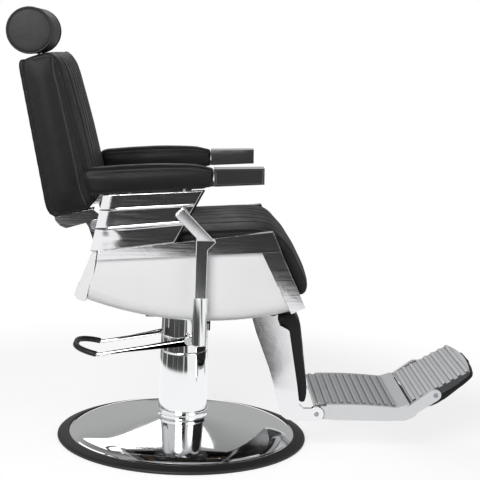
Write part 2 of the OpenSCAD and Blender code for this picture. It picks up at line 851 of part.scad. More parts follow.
module seat_cushion() {
  color("#161616") on_seat() {
    hull() {
      slab(-cushion_half_w, cushion_half_w) cushion_top(cushion_h - 21);
      slab(-cushion_half_w + 13, cushion_half_w - 13) cushion_top(cushion_h - 11);
      slab(-cushion_half_w + 55, cushion_half_w - 55) cushion_top(cushion_h - 4);
      slab(-cushion_half_w + 130, cushion_half_w - 130) cushion_top(cushion_h);
    }
    hull() {
      slab(-cushion_half_w, cushion_half_w) cushion_flap(flap_t - 10);
      slab(-cushion_half_w + 10, cushion_half_w - 10) cushion_flap(flap_t - 4);
      slab(-cushion_half_w + 40, cushion_half_w - 40) cushion_flap(flap_t);
    }
  }
}

module back_pivots() {
  color("gray") both_sides() on_seat() {
    bar_y(back_pivot, pivot_r, -bracket_in - bracket_t - 1, -plate_in + 2);
    bar_y(back_pivot, pivot_r + 4, -bracket_in - bracket_t - 5, -bracket_in - bracket_t - 1);
  }
}

// Recline lever -----------------------------------------------------------------------------------

module recline_bar() {
  rear = bar_front - bar_w;
  arm = bar_arm / sqrt(2);
  side = bar_w / sqrt(2);
  color("gainsboro") on_lever_side() slab(-bar_in - bar_t, -bar_in) polygon([
    [bar_front, handle_top], [rear, handle_top], [rear, bar_nose[0] + bar_nose[1] - 2 * side - rear],
    bar_nose + [-arm - side, arm - side], bar_nose + [-arm, arm], bar_nose, bar_nose - [side, side]]);
}

// The lever hangs upright beside the tilted seat
module on_lever_side() {
  translate(seat_point(lever_pivot)) translate([-lever_pivot[0], 0, -lever_pivot[1]]) children();
}

module recline_handle() {
  at = [bar_front - bar_w / 2, -bar_in - bar_t / 2, handle_top];
  color("silver") on_lever_side() translate(at) rotate([180, 0, 0]) difference() {
    union() {
      cylinder(r = handle_d / 2, h = handle_len);
      translate([0, 0, handle_len]) cylinder(r1 = handle_d / 2, r2 = handle_d / 2 - 2, h = 2);
    }
    translate([0, 0, handle_len - 10]) cylinder(r = handle_d / 2 - 4, h = 20);
  }
}

module recline_shaft() {
  color("silver") on_lever_side() union() {
    bar_y(lever_pivot, lever_shaft_r, -bar_in, -plate_in + 20);
    slab(-plate_in + 8, -plate_in + 18) difference() {
      union() {
        translate(lever_pivot) circle(r = 13);
        translate(lever_pivot + [-6, -48]) square([12, 48]);
        translate(lever_pivot + [0, -48]) circle(r = 7);
      }
      translate(lever_pivot + [0, -48]) circle(r = 3);
    }
  }
}

// Lock strut between the frame and the leg rest's crank; its front pin is left out -------------------

module along_strut() {
  translate(strut_from) rotate([0, -strut_dir, 0]) children();
}

module strut_cylinder() {
  color("#202020") along_strut() union() {
    bar_y([0, 0], strut_pin_r, -strut_ear_in - 6, strut_ear_in + 6);
    bar_y([0, 0], 11, -strut_ear_in + 1, strut_ear_in - 1);
    rotate([0, 90, 0]) difference() {
      cylinder(r = strut_r, h = strut_body);
      translate([0, 0, 20]) cylinder(r = strut_rod_r + fit, h = strut_body);
    }
  }
}

module strut_rod() {
  color("silver") along_strut() difference() {
    union() {
      translate([62, 0, 0]) rotate([0, 90, 0]) cylinder(r = strut_rod_r, h = strut_len - 62 - 18);
      translate([strut_len - 26, -12, -9]) cube([26, 24, 18]);
      bar_y([strut_len, 0], 9, -12, 12);
    }
    translate([strut_len - 18, -6, -12]) cube([40, 12, 24]);
    bar_y([strut_len, 0], strut_pin_r + fit, -20, 20);
  }
}

// Backrest ----------------------------------------------------------------------------------------

module back_brackets() {
  color("gainsboro") both_sides() on_back() difference() {
    union() {
      slab(-bracket_in - bracket_t, -bracket_in) union() {
        polygon([[-95, back_foot - 4], [-95, 31], [-86, 15], [-73, 6], [-23, 9], [-16, -8], [10, -12],
                 [18, 6], [12, 24], [2, back_foot - 4]]);
        circle(r = 18);
      }
      translate([-95, -bracket_in - bracket_t, back_foot - 4]) cube([97, 40, 4]);
    }
    bar_y([0, 0], pivot_r + fit, -bracket_in - 20, -bracket_in + 20);
  }
}

// Rear face of the backrest cushion at the height z: it leans a little more than its front
function back_rear(z) = back_front - back_t + 8 - back_flare * (back_foot + back_h - z) / back_h;

module back_panel() {
  low = back_foot + board_inset + 14;
  high = back_foot + back_h - board_inset - 12;
  color("#161616") on_back() slab(-back_half_w + board_inset, back_half_w - board_inset)
    polygon([[back_rear(low), low], [back_rear(high), high], [back_rear(high) - back_board_t, high],
             [back_rear(low) - back_board_t, low]]);
}

// Side profile of the backrest: flat at the rear, bulging forward by crown
module back_profile(crown) {
  top = back_foot + back_h;
  polygon([[back_rear(back_foot + 30), back_foot + 30], [back_rear(back_foot) + 6, back_foot + 12],
    [back_rear(back_foot) + 17, back_foot], [back_front - 12, back_foot + 2],
    [back_front + 10 + crown * 0.6, back_foot + 22], [back_front + crown, lerp(back_foot, top, 0.5)],
    [back_front - 8 + crown, top - 40], [back_front - 13 + crown * 0.5, top - 6],
    [back_front - 24 + crown * 0.4, top], [back_rear(top) + 16, top - 2],
    [back_rear(top) + 4, top - 7], [back_rear(top - 15), top - 15]]);
}

module back_cushion() {
  color("#161616") on_back() difference() {
    hull() {
      slab(-back_half_w, back_half_w) back_profile(0);
      slab(-back_half_w + 16, back_half_w - 16) back_profile(back_crown * 0.6);
      slab(-back_half_w + 60, back_half_w - 60) back_profile(back_crown);
    }
    translate([post_x - post_t / 2 - socket_wall, -post_w / 2 - socket_wall,
               back_foot + back_h - socket_deep])
      cube([post_t + 2 * socket_wall, post_w + 2 * socket_wall, socket_deep + 5]);
  }
}

module headrest_socket() {
  color("silver") on_back() translate([post_x, 0, back_foot + back_h - socket_deep]) difference() {
    translate([-post_t / 2 - socket_wall, -post_w / 2 - socket_wall, 0])
      cube([post_t + 2 * socket_wall, post_w + 2 * socket_wall, socket_deep]);
    translate([-post_t / 2 - post_gap, -post_w / 2 - post_gap, -1])
      cube([post_t + 2 * post_gap, post_w + 2 * post_gap, socket_deep + 2]);
  }
}

// Flat post with the round core that the roll is padded on
module headrest_post() {
  color("silver") on_back() translate([post_x, 0, 0]) union() {
    translate([-post_t / 2, -post_w / 2, back_foot + back_h - socket_deep + 8])
      cube([post_t, post_w, roll_z - back_foot - back_h + socket_deep - 8]);
    bar_y([0, roll_z], core_r, -roll_half + cap_t, roll_half - cap_t);
  }
}

module headrest_roll() {
  color("#161616") on_back() translate([post_x, 0, 0]) difference() {
    bar_y([0, roll_z], roll_r, -roll_half + cap_t, roll_half - cap_t);
    bar_y([0, roll_z], core_r, -roll_half, roll_half);
    translate([-post_t / 2, -post_w / 2, roll_z - roll_r - 5]) cube([post_t, post_w, roll_r]);
  }
}

module headrest_caps() {
  color("#404040") on_back() translate([post_x, 0, 0]) both_sides() {
    bar_y([0, roll_z], roll_r - 3, -roll_half, -roll_half + cap_t);
  }
}

// Leg rest ----------------------------------------------------------------------------------------

module leg_profile() {
  f = foot_pivot;
  polygon([[-13, 10], [-34, -12], [-47, -27], [-49, -33], [-45, -46], [-38, -68], [-3, -157], [12, -203], [29, -270],
           [36, -284], [47, -292], [64, -295], f + [0, -foot_end_r], f + [0, foot_end_r - 5], f + [-34, 14], f + [-45, 24],
           [72, -205], [46, -63], [41, -58], [21, -48], [15, -32], [15, 10]]);
  circle(r = 16);
  translate(f) circle(r = foot_end_r);
}

module leg_arm() {
  on_leg() difference() {
    slab(-leg_out, -leg_in) leg_profile();
    bar_y([0, 0], leg_shaft_r, -leg_out - 1, -leg_in + 1);
    bar_y(foot_pivot, pin_r, -leg_out - 1, -leg_in + 1);
  }
}

module leg_arm_right() {
  color("gainsboro") leg_arm();
}

module leg_arm_left() {
  color("gainsboro") left_side() leg_arm();
}

// Pivot shaft with the crank that the lock strut works on
module leg_shaft() {
  color("gray") on_leg() difference() {
    union() {
      bar_y([0, 0], leg_shaft_r, -plate_in - plate_t - 4, plate_in + plate_t + 4);
      slab(-5, 5) union() {
        translate(crank) circle(r = 9);
        circle(r = 16);
        polygon([[-14, 0], crank + [-9, 0], crank + [9, 0], [14, 0]]);
      }
    }
    bar_y(crank, strut_pin_r + fit, -6, 6);
  }
}

module calf_board() {
  color("burlywood") on_leg() slab(-leg_in, leg_in) polygon([[24, -54], [33, -57], [74, -238], [66, -236]]);
}

module calf_pad() {
  color("#161616") on_leg() slab(-leg_in + loose, leg_in - loose) polygon([
    [15, -36], [30, -24], [47, -20], [60, -20], [73, -38], [84, -102], [95, -181], [99, -225],
    [95, -246], [84, -252], [76, -244], [74.4, -238], [33.4, -57], [24, -53]]);
}

module foot_pins() {
  color("silver") on_leg() both_sides() bar_y(foot_pivot, pin_r, -leg_out - 1.5, -leg_in + 14);
}

// Foot rest ---------------------------------------------------------------------------------------

// Height of the deck at x: a shallow hump, then the bend up to the tip plate
function deck_z(x) = x < deck_end ? 27 - 5.5 * pow((x - 90) / 116, 2) : 21.5 + (x - deck_end) * 0.34;

// Part of the deck's section, from x0 to x1 in k steps
module deck_slice(x0, x1, k) {
  polygon(concat(
    [for (i = [0:k]) let (x = lerp(x0, x1, i / k)) [x, deck_z(x)]],
    [for (i = [k:-1:0]) let (x = lerp(x0, x1, i / k)) [x, deck_z(x) - deck_t]]));
}

module foot_plate() {
  k = 24;
  color("gainsboro") on_foot() difference() {
    union() {
      // side rails with the eyes for the tip plate
      both_sides() {
        slab(-leg_out + 2, -leg_in) difference() {
          union() {
            polygon([[10, -13], [66, -15], [180, -14], [deck_end + 22, -12], [deck_end + 38, -6],
                     [deck_end + 50, 2], tip_pivot + [-43, -47], tip_pivot + [8, -12], tip_pivot + [-8, 14],
                     tip_pivot + [-56, -22], [deck_end + 30, 26], [deck_end + 10, 20.5], [deck_end - 30, 21],
                     [90, 23], [deck_wide, 21], [10, 19.5]]);
            translate(tip_pivot) circle(r = 14);
          }
          circle(r = foot_end_r + 1.5);
        }
        // knuckles on the foot rest's pins
        slab(-leg_in + 1, -leg_in + 14) union() {
          circle(r = 15);
          polygon([[0, -15], [40, -11], [40, 22], [0, 20], [0, 15]]);
        }
      }
      // deck
      slab(-leg_in + 1, leg_in - 1) deck_slice(deck_start, deck_wide + 10, 8);
      slab(-leg_out + 2, leg_out - 2) deck_slice(deck_wide, deck_end + 32, k);
      // ribs across the deck
      for (i = [0:rib_count - 1]) let (x = lerp(8, deck_end - 6, i / (rib_count - 1)))
        slab(-leg_in + 3, leg_in - 3) translate([x, deck_z(x)])
          polygon([[-rib_w / 2, -3], [1 - rib_w / 2, rib_h], [rib_w / 2 - 1, rib_h], [rib_w / 2, -3]]);
      // skirt under the deck's rear end
      slab(-leg_in + 1, leg_in - 1) polygon([[deck_start, deck_z(deck_start) - 1], [deck_start, 9],
        [deck_start + 4, 9], [deck_start + 4, deck_z(deck_start) - 1]]);
    }
    both_sides() bar_y([0, 0], pin_r + fit, -leg_in - 1, -leg_in + 30);
    both_sides() bar_y(tip_pivot, pin_r, -leg_out, -leg_in + 1);
  }
}

module tip_pins() {
  color("silver") on_foot() both_sides() bar_y(tip_pivot, pin_r, -leg_out + 1, -leg_in + 12);
}

// Outline of the tip plate seen square to its face, with a bowed front edge
module tip_outline(inset) {
  bow_r = (pow(tip_half_w, 2) + pow(tip_bow, 2)) / (2 * tip_bow);
  intersection() {
    translate([-tip_back + inset, -tip_half_w + inset])
      square([tip_back + tip_front + tip_bow + 20, 2 * (tip_half_w - inset)]);
    translate([tip_front + tip_bow - bow_r, 0]) circle(r = bow_r - inset);
  }
}

module tip_plate() {
  color("gainsboro") on_tip() difference() {
    union() {
      translate([0, 0, tip_low]) linear_extrude(deck_t) tip_outline(0);
      for (i = [0:tip_rib_count - 1]) let (x = lerp(-tip_back + 9, tip_front - 4, i / (tip_rib_count - 1)))
        translate([0, 0, tip_low + deck_t]) linear_extrude(rib_h) intersection() {
          tip_outline(2);
          translate([x - rib_w / 2, -tip_half_w]) square([rib_w, 2 * tip_half_w]);
        }
      both_sides() slab(-tip_half_w, -tip_half_w + 10) union() {
        circle(r = 11);
        translate([-11, 0]) square([22, tip_low + 1]);
      }
      // flanges along the sides, ahead of the eyes
      both_sides() slab(-tip_half_w, -tip_half_w + 4)
        polygon([[8, tip_low + 1], [14, -8], [62, -6], [tip_front - 3, 2], [tip_front - 2, tip_low + 1]]);
    }
    both_sides() bar_y([0, 0], pin_r + fit, -tip_half_w - 1, -tip_half_w + 30);
  }
}

module tip_pad() {
  nose = tip_front + tip_bow + 5;
  color("#161616") on_tip() intersection() {
    slab(-tip_half_w + 12, tip_half_w - 12) polygon([
      [-50, tip_low], [-52, -14], [-45, -28], [-16, -35], [14, -34], [50, -28],
      [tip_front - 8, -18], [nose - 3, -9], [nose, -4], [nose - 1, tip_low]]);
    translate([0, 0, -60]) linear_extrude(80) tip_outline(-5);
  }
}

base_dome();
base_ring();
ballast_plate();
column_socket();
socket_bolts();
socket_bearings();
column_tube();
base_collar();
pump_body();
head_cover();
ram_bush();
ram_seal();
lever_studs();
pump_plunger();
lever_rod();
lever_grip();
lock_lever();
ram();
mount_plate();
frame_tubes();
frame_plates();
side_rail_right();
side_rail_left();
frame_bolts();
side_shell_right();
side_shell_left();
rear_shell();
shell_screws();
side_panel_right();
side_panel_left();
panel_liners();
arm_tip_right();
arm_tip_left();
arm_pad_right();
arm_pad_left();
seat_board();
seat_cushion();
back_pivots();
recline_bar();
recline_handle();
recline_shaft();
strut_cylinder();
strut_rod();
back_brackets();
back_panel();
back_cushion();
headrest_socket();
headrest_post();
headrest_roll();
headrest_caps();
leg_arm_right();
leg_arm_left();
leg_shaft();
calf_board();
calf_pad();
foot_pins();
foot_plate();
tip_pins();
tip_plate();
tip_pad();
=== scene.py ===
"""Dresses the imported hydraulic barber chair: castings with eased edges, chrome, enamel and
sewn upholstery around the fixed frame. Metres, +X the way the sitter faces, +Z up."""

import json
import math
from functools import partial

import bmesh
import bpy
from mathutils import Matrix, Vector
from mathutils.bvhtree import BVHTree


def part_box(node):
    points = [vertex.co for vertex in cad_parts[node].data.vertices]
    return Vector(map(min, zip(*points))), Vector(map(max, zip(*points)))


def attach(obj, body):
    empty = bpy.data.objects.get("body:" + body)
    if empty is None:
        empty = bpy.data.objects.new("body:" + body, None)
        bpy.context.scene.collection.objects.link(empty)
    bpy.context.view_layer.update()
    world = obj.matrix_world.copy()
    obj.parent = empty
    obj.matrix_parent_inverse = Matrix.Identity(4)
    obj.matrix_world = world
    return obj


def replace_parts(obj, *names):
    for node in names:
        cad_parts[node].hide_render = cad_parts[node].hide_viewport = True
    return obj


bl_info = {
    "name": "Hydraulic Barber Chair",
    "version": (1, 0, 0),
    "blender": (4, 5, 0),
    "location": "View3D > Sidebar > Barber Chair",
    "description": "Adds the finished surfaces and upholstery of a hydraulic barber chair",
    "category": "Object",
}

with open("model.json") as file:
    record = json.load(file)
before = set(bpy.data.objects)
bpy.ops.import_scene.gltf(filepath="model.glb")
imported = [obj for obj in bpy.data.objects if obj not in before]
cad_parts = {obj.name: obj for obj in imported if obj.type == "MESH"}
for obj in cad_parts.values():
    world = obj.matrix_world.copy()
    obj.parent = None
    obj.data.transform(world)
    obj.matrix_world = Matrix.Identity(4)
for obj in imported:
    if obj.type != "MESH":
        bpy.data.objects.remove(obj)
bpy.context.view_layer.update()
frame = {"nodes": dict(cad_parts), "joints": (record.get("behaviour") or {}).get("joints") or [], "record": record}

MM = 0.001
SEAT_TILT = math.radians(4.2)
BACK_LEAN = math.radians(13.5)
TIP_SLOPE = math.radians(30)
LEG_PIVOT_IN_SEAT = (207, -158)
TIP_PIVOT_IN_FOOT = (304, 57)
SIDES = ((-1, "right"), (1, "left"))


def srgb(code):
    """Linear colour of an sRGB hex value such as 1a2b3c."""
    channels = [int(code[i:i + 2], 16) / 255 for i in (0, 2, 4)]
    return tuple(c / 12.92 if c <= 0.04045 else ((c + 0.055) / 1.055) ** 2.4 for c in channels)


# --- Places

def pivot(joint):
    """Where a joint's axis crosses the chair's middle plane."""
    place = next(j["pos_m"] for j in frame["joints"] if j["name"] == joint)
    return Vector((place[0], 0, place[2]))


def leaning(origin, angle):
    """A side frame at a point, leaning back by an angle."""
    return Matrix.Translation(origin) @ Matrix.Rotation(-angle, 4, "Y")


def seat_origin():
    """The seat frame's origin, found back from the leg rest's pivot."""
    x, z = (v * MM for v in LEG_PIVOT_IN_SEAT)
    offset = Matrix.Rotation(-SEAT_TILT, 4, "Y") @ Vector((x, 0, z))
    return pivot("leg_lift") - offset


SEAT = leaning(seat_origin(), SEAT_TILT)
BACK = leaning(pivot("recline"), BACK_LEAN)
LEG = leaning(pivot("leg_lift"), 0)
FOOT = leaning(pivot("foot_fold"), 0)
TIP = leaning(pivot("tip_flip"), TIP_SLOPE)


def half_width(node):
    """Distance from the middle plane to a node's far side."""
    low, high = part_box(node)
    return max(-low.y, high.y)


def reach_and_top(node):
    """A turned node's greatest radius and its height, in millimetres."""
    return half_width(node) / MM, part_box(node)[1].z / MM


def between(value, low, high):
    """Smooth step from 0 at low to 1 at high."""
    t = min(1, max(0, (value - low) / (high - low)))
    return t * t * (3 - 2 * t)


# --- Sizes and colours that a user may change

class ChairSizes(bpy.types.PropertyGroup):
    """Sizes of the finish, in millimetres where they are lengths"""
    edge: bpy.props.FloatProperty(
        name="Cast edge", description="Rounding of the castings' edges in millimetres",
        default=1.3, min=0.3, max=3)
    fine_edge: bpy.props.FloatProperty(
        name="Machined edge", description="Rounding of small machined edges in millimetres",
        default=0.7, min=0.2, max=2)
    piping: bpy.props.FloatProperty(
        name="Piping", description="Radius of the sewn piping in millimetres", default=2.6, min=1, max=5)
    channels: bpy.props.IntProperty(
        name="Channels", description="Sewn channels across the backrest", default=8, min=3, max=14)
    channel_depth: bpy.props.FloatProperty(
        name="Channel depth", description="Depth of a sewn channel in millimetres",
        default=6, min=1, max=12)
    voxel: bpy.props.FloatProperty(
        name="Voxel", description="Grain of the mesh that the padding is swollen on, in millimetres",
        default=6, min=4, max=10)


class ChairColours(bpy.types.PropertyGroup):
    """Colours of the finish"""
    vinyl: bpy.props.FloatVectorProperty(
        name="Vinyl", description="Upholstery vinyl", subtype="COLOR", default=srgb("171718"))
    cap: bpy.props.FloatVectorProperty(
        name="Cap vinyl", description="Headrest discs and piping", subtype="COLOR",
        default=srgb("3a3a3b"))
    enamel: bpy.props.FloatVectorProperty(
        name="Enamel", description="White shells", subtype="COLOR", default=srgb("f1f1f2"))
    aluminium: bpy.props.FloatVectorProperty(
        name="Aluminium", description="Polished castings", subtype="COLOR", default=srgb("eeeef0"))
    chrome: bpy.props.FloatVectorProperty(
        name="Chrome", description="Chrome plate", subtype="COLOR", default=srgb("f3f4f5"))
    rubber: bpy.props.FloatVectorProperty(
        name="Rubber", description="Base ring and grip", subtype="COLOR", default=srgb("131314"))


# --- Materials

def add_node(tree, kind, inputs=None, **settings):
    """Adds a node of a kind, named without its ShaderNode, sets its properties, and fills its
    inputs by name or number: with a value, a socket, or the first output of another node."""
    node = tree.nodes.new("ShaderNode" + kind)
    for name, value in settings.items():
        setattr(node, name, value)
    for name, value in (inputs or {}).items():
        if isinstance(value, bpy.types.Node):
            value = value.outputs[0]
        if isinstance(value, bpy.types.NodeSocket):
            tree.links.new(value, node.inputs[name])
        else:
            node.inputs[name].default_value = value
    return node


def shaded(result, output, surface):
    """Fills the node tree of a material or world: surface(add, place) makes its nodes with add,
    round the coordinates in place, and returns the last."""
    result.use_nodes = True
    result.node_tree.nodes.clear()
    add = partial(add_node, result.node_tree)
    place = add("TexCoord").outputs["Object"]
    add(output, {"Surface": surface(add, place)})
    return result


def per_mm(size):
    """Texture scale, in features per metre, of a pattern whose repeat is size millimetres."""
    return 1000 / size


def chair_colour(name):
    """One of the colours that a user may change, as a shader takes it."""
    return (*getattr(bpy.context.scene.chair_colours, name), 1)


def chair_size(name):
    """One of the sizes that a user may change."""
    return getattr(bpy.context.scene.chair_sizes, name)


MATERIALS = {}


def material(name):
    """The material of that name, made once."""
    if name not in MATERIALS:
        MATERIALS[name] = shaded(bpy.data.materials.new(name), "OutputMaterial", MAKERS[name])
    return MATERIALS[name]


def chrome_plate(add, place):
    """Chrome plate on polished steel: a clear mirror, a little hazy where cloths have wiped it."""
    haze = add("TexNoise", {"Vector": place, "Scale": per_mm(70), "Detail": 4.0})
    rough = add("MapRange", {
        "Value": haze, "From Min": 0.35, "From Max": 0.75, "To Min": 0.035, "To Max": 0.09})
    swell = add("TexNoise", {"Vector": place, "Scale": per_mm(130), "Detail": 1.0})
    bump = add("Bump", {"Height": swell, "Strength": 0.12, "Distance": 0.004})
    return add("BsdfPrincipled", {
        "Base Color": chair_colour("chrome"), "Metallic": 1.0, "Roughness": rough, "Normal": bump})


def polished_aluminium(add, place):
    """Cast aluminium buffed along its length: bright, with soft waves and fine buffing lines."""
    # buffing lines half a millimetre apart are drawn 3 mm apart so that they still show
    along = add("Mapping", {"Vector": place, "Scale": (per_mm(90), per_mm(3), per_mm(3))})
    lines = add("TexNoise", {"Vector": along, "Scale": 1.0, "Detail": 3.0})
    waves = add("TexNoise", {
        "Vector": place, "Scale": per_mm(45), "Detail": 3.0, "Distortion": 0.6})
    rough = add("MapRange", {
        "Value": lines, "From Min": 0.3, "From Max": 0.7, "To Min": 0.05, "To Max": 0.12})
    bump = add("Bump", {"Height": waves, "Strength": 0.04, "Distance": 0.003})
    bump = add("Bump", {
        "Height": lines, "Strength": 0.03, "Distance": 0.0004, "Normal": bump})
    return add("BsdfPrincipled", {
        "Base Color": chair_colour("aluminium"), "Metallic": 1.0, "Roughness": rough, "Normal": bump})


def satin_aluminium(add, place):
    """Aluminium left satin by the sander: it scatters light, and painted shade darkens its grooves."""
    grain = add("TexNoise", {
        "Vector": place, "Scale": per_mm(3.5), "Detail": 4.0, "Roughness": 0.65})
    # painted shade: the grooves get the dark tone where ambient occlusion finds them hidden from light
    groove = add("AmbientOcclusion", {"Distance": 0.009}, samples=8)
    painted_groove_shade = add("MapRange", {
        "Value": groove.outputs["AO"], "From Min": 0.55, "From Max": 0.92, "To Min": 0.12,
        "To Max": 1.0})
    tone = add("Mix", {
        0: painted_groove_shade, 6: (*srgb("3c3c3d"), 1), 7: (*srgb("dcdddf"), 1)}, data_type="RGBA")
    rough = add("MapRange", {
        "Value": grain, "From Min": 0.3, "From Max": 0.7, "To Min": 0.36, "To Max": 0.5})
    bump = add("Bump", {"Height": grain, "Strength": 0.12, "Distance": 0.0008})
    return add("BsdfPrincipled", {
        "Base Color": tone.outputs[2], "Metallic": 0.72, "Roughness": rough, "Normal": bump})


def brushed_aluminium(add, place):
    """Flat bar brushed with a coarse belt: bright, with short scratches along it and a soft gleam."""
    # belt scratches a tenth of a millimetre wide are drawn 2 mm apart so that they still show
    along = add("Mapping", {"Vector": place, "Scale": (per_mm(2), per_mm(30), per_mm(30))})
    scratches = add("TexNoise", {"Vector": along, "Scale": 1.0, "Detail": 3.0})
    rough = add("MapRange", {
        "Value": scratches, "From Min": 0.3, "From Max": 0.7, "To Min": 0.1, "To Max": 0.15})
    bump = add("Bump", {"Height": scratches, "Strength": 0.006, "Distance": 0.0003})
    return add("BsdfPrincipled", {
        "Base Color": chair_colour("aluminium"), "Metallic": 1.0, "Roughness": rough, "Normal": bump})


def gloss_enamel(add, place):
    """White baked enamel on a pressed shell: even, glossy, with a faint orange peel."""
    peel = add("TexNoise", {"Vector": place, "Scale": per_mm(5), "Detail": 2.0})
    bump = add("Bump", {"Height": peel, "Strength": 0.05, "Distance": 0.0006})
    return add("BsdfPrincipled", {
        "Base Color": chair_colour("enamel"), "Roughness": 0.3, "Coat Weight": 0.5,
        "Coat Roughness": 0.08, "Normal": bump})


def soft_vinyl(colour, rough_min, rough_max, add, place):
    """Expanded vinyl on foam: a fine pebble grain, soft wrinkles and a dull sheen."""
    # the pebbles are about a millimetre across, and drawn larger so that they still show
    pebbles = add("TexVoronoi", {"Vector": place, "Scale": per_mm(2.6)}, feature="SMOOTH_F1")
    wrinkles = add("TexNoise", {
        "Vector": place, "Scale": per_mm(38), "Detail": 3.0, "Distortion": 0.8})
    sheen = add("MapRange", {
        "Value": wrinkles, "From Min": 0.3, "From Max": 0.7, "To Min": rough_min, "To Max": rough_max})
    bump = add("Bump", {"Height": wrinkles, "Strength": 0.16, "Distance": 0.006})
    bump = add("Bump", {
        "Height": pebbles, "Strength": 0.14, "Distance": 0.0006, "Normal": bump})
    return add("BsdfPrincipled", {
        "Base Color": chair_colour(colour), "Roughness": sheen, "Specular IOR Level": 0.22,
        "Normal": bump})


def moulded_rubber(add, place):
    """Moulded rubber: matt, with the mould's fine spark texture."""
    spark = add("TexNoise", {"Vector": place, "Scale": per_mm(2.5), "Detail": 3.0})
    rough = add("MapRange", {"Value": spark, "To Min": 0.42, "To Max": 0.62})
    bump = add("Bump", {"Height": spark, "Strength": 0.12, "Distance": 0.0006})
    return add("BsdfPrincipled", {
        "Base Color": chair_colour("rubber"), "Roughness": rough, "Normal": bump})


def flecked(base, fleck, fleck_size, metallic, rough, relief, add, place):
    """A plain workshop finish: two close tones in flecks, with an uneven surface."""
    flecks = add("TexNoise", {
        "Vector": place, "Scale": per_mm(fleck_size), "Detail": 4.0})
    tone = add("ValToRGB", {"Fac": flecks})
    for stop, position, code in zip(tone.color_ramp.elements, (0.35, 0.7), (base, fleck)):
        stop.position = position
        stop.color = (*srgb(code), 1)
    bump = add("Bump", {"Height": flecks, "Strength": 0.2, "Distance": relief})
    return add("BsdfPrincipled", {
        "Base Color": tone, "Metallic": metallic, "Roughness": rough, "Normal": bump})


# two tones, the flecks' size in millimetres, how metallic and rough it is, and its relief
FLECKED = {
    # grey iron under a thin coat of paint, with the sand mould's grain
    "painted_casting": ("3a3b3d", "48494b", 6, 0.0, 0.6, 0.001),
    # zinc plated steel: pale grey with cloudy spangles
    "zinc_steel": ("8f9296", "b3b5b8", 9, 1.0, 0.36, 0.0004),
    # machined bearing bronze, warm and slightly dull
    "bearing_bronze": ("a07a3c", "b98f4d", 7, 1.0, 0.34, 0.0004),
    # bare moulded beech plywood, brown and a little uneven in tone
    "moulded_plywood": ("6b5844", "7d6a52", 14, 0.0, 0.62, 0.0004),
    # injection moulded black plastic with a light mould texture
    "black_plastic": ("121213", "19191a", 3, 0.0, 0.42, 0.0002),
    # powder coated steel: black, even, with a small orange peel
    "black_paint": ("1d1d1e", "262627", 4, 0.0, 0.48, 0.0004),
}

MAKERS = {
    **{maker.__name__: maker for maker in (
        chrome_plate, polished_aluminium, satin_aluminium, brushed_aluminium, gloss_enamel,
        moulded_rubber)},
    # the cushions' black vinyl, and the greyer one of the headrest's end discs, which the piping also takes as a
    # painted highlight
    "black_vinyl": partial(soft_vinyl, "vinyl", 0.42, 0.54),
    "cap_vinyl": partial(soft_vinyl, "cap", 0.4, 0.55),
    **{finish: partial(flecked, *tones) for finish, tones in FLECKED.items()},
}

SLOT_MATERIALS = {
    "dome": "chrome_plate", "chrome": "chrome_plate", "rubber": "moulded_rubber",
    "cast": "painted_casting", "steel": "zinc_steel", "bronze": "bearing_bronze",
    "polished": "polished_aluminium", "enamel": "gloss_enamel", "vinyl": "black_vinyl",
    "vinyl_cap": "cap_vinyl", "wood": "moulded_plywood", "black": "black_plastic",
    "frame": "black_paint",
}


# --- Meshes

NODE_BODY = {n: body for body, names in frame["record"]["behaviour"]["bodies"].items() for n in names}
NODE_SLOT = {s["node"]: s["material_slot"] for s in frame["record"]["subparts"]}


def editable(mesh):
    """A bmesh of a mesh."""
    bm = bmesh.new()
    bm.from_mesh(mesh)
    return bm


def write(bm, mesh):
    """Writes a bmesh to a mesh, and frees it."""
    bm.to_mesh(mesh)
    bm.free()


def linked(name, data):
    """A new object, in the scene."""
    thing = bpy.data.objects.new(name, data)
    bpy.context.scene.collection.objects.link(thing)
    return thing


def add_piece(bm, name, node, sharp=32, finish=None, body=None):
    """Makes a finished piece from a bmesh: it rides with the node that it is like."""
    mesh = bpy.data.meshes.new(name)
    write(bm, mesh)
    mesh.shade_smooth()
    mesh.set_sharp_from_angle(angle=math.radians(sharp))
    piece = linked(name, mesh)
    slot = NODE_SLOT[node]
    mesh.materials.append(material(finish or SLOT_MATERIALS[slot]))
    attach(piece, body or NODE_BODY[node])
    return piece


def eased(node, name, width, segments=2, finish=None, sharp=40, flat=1.0):
    """A copy of a CAD node whose sharp edges are rounded by width millimetres."""
    bm = editable(frame["nodes"][node].data)
    bmesh.ops.remove_doubles(bm, verts=bm.verts, dist=2e-6)
    bmesh.ops.dissolve_limit(bm, angle_limit=math.radians(flat), verts=bm.verts, edges=bm.edges)
    edges = [e for e in bm.edges
             if len(e.link_faces) == 2 and e.calc_face_angle(0) > math.radians(28)]
    bmesh.ops.bevel(bm, geom=edges, offset=width * MM, affect="EDGES", segments=segments,
                    profile=0.5, material=-1, clamp_overlap=True)
    piece = add_piece(bm, name, node, sharp, finish)
    piece.modifiers.new("even_normals", "WEIGHTED_NORMAL").keep_sharp = True
    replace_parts(piece, node)
    return piece


def refinish(piece, finish, chosen):
    """Gives another material to the faces of a piece for which chosen(face) holds."""
    piece.data.materials.append(material(finish))
    for face in piece.data.polygons:
        if chosen(face):
            face.material_index = 1


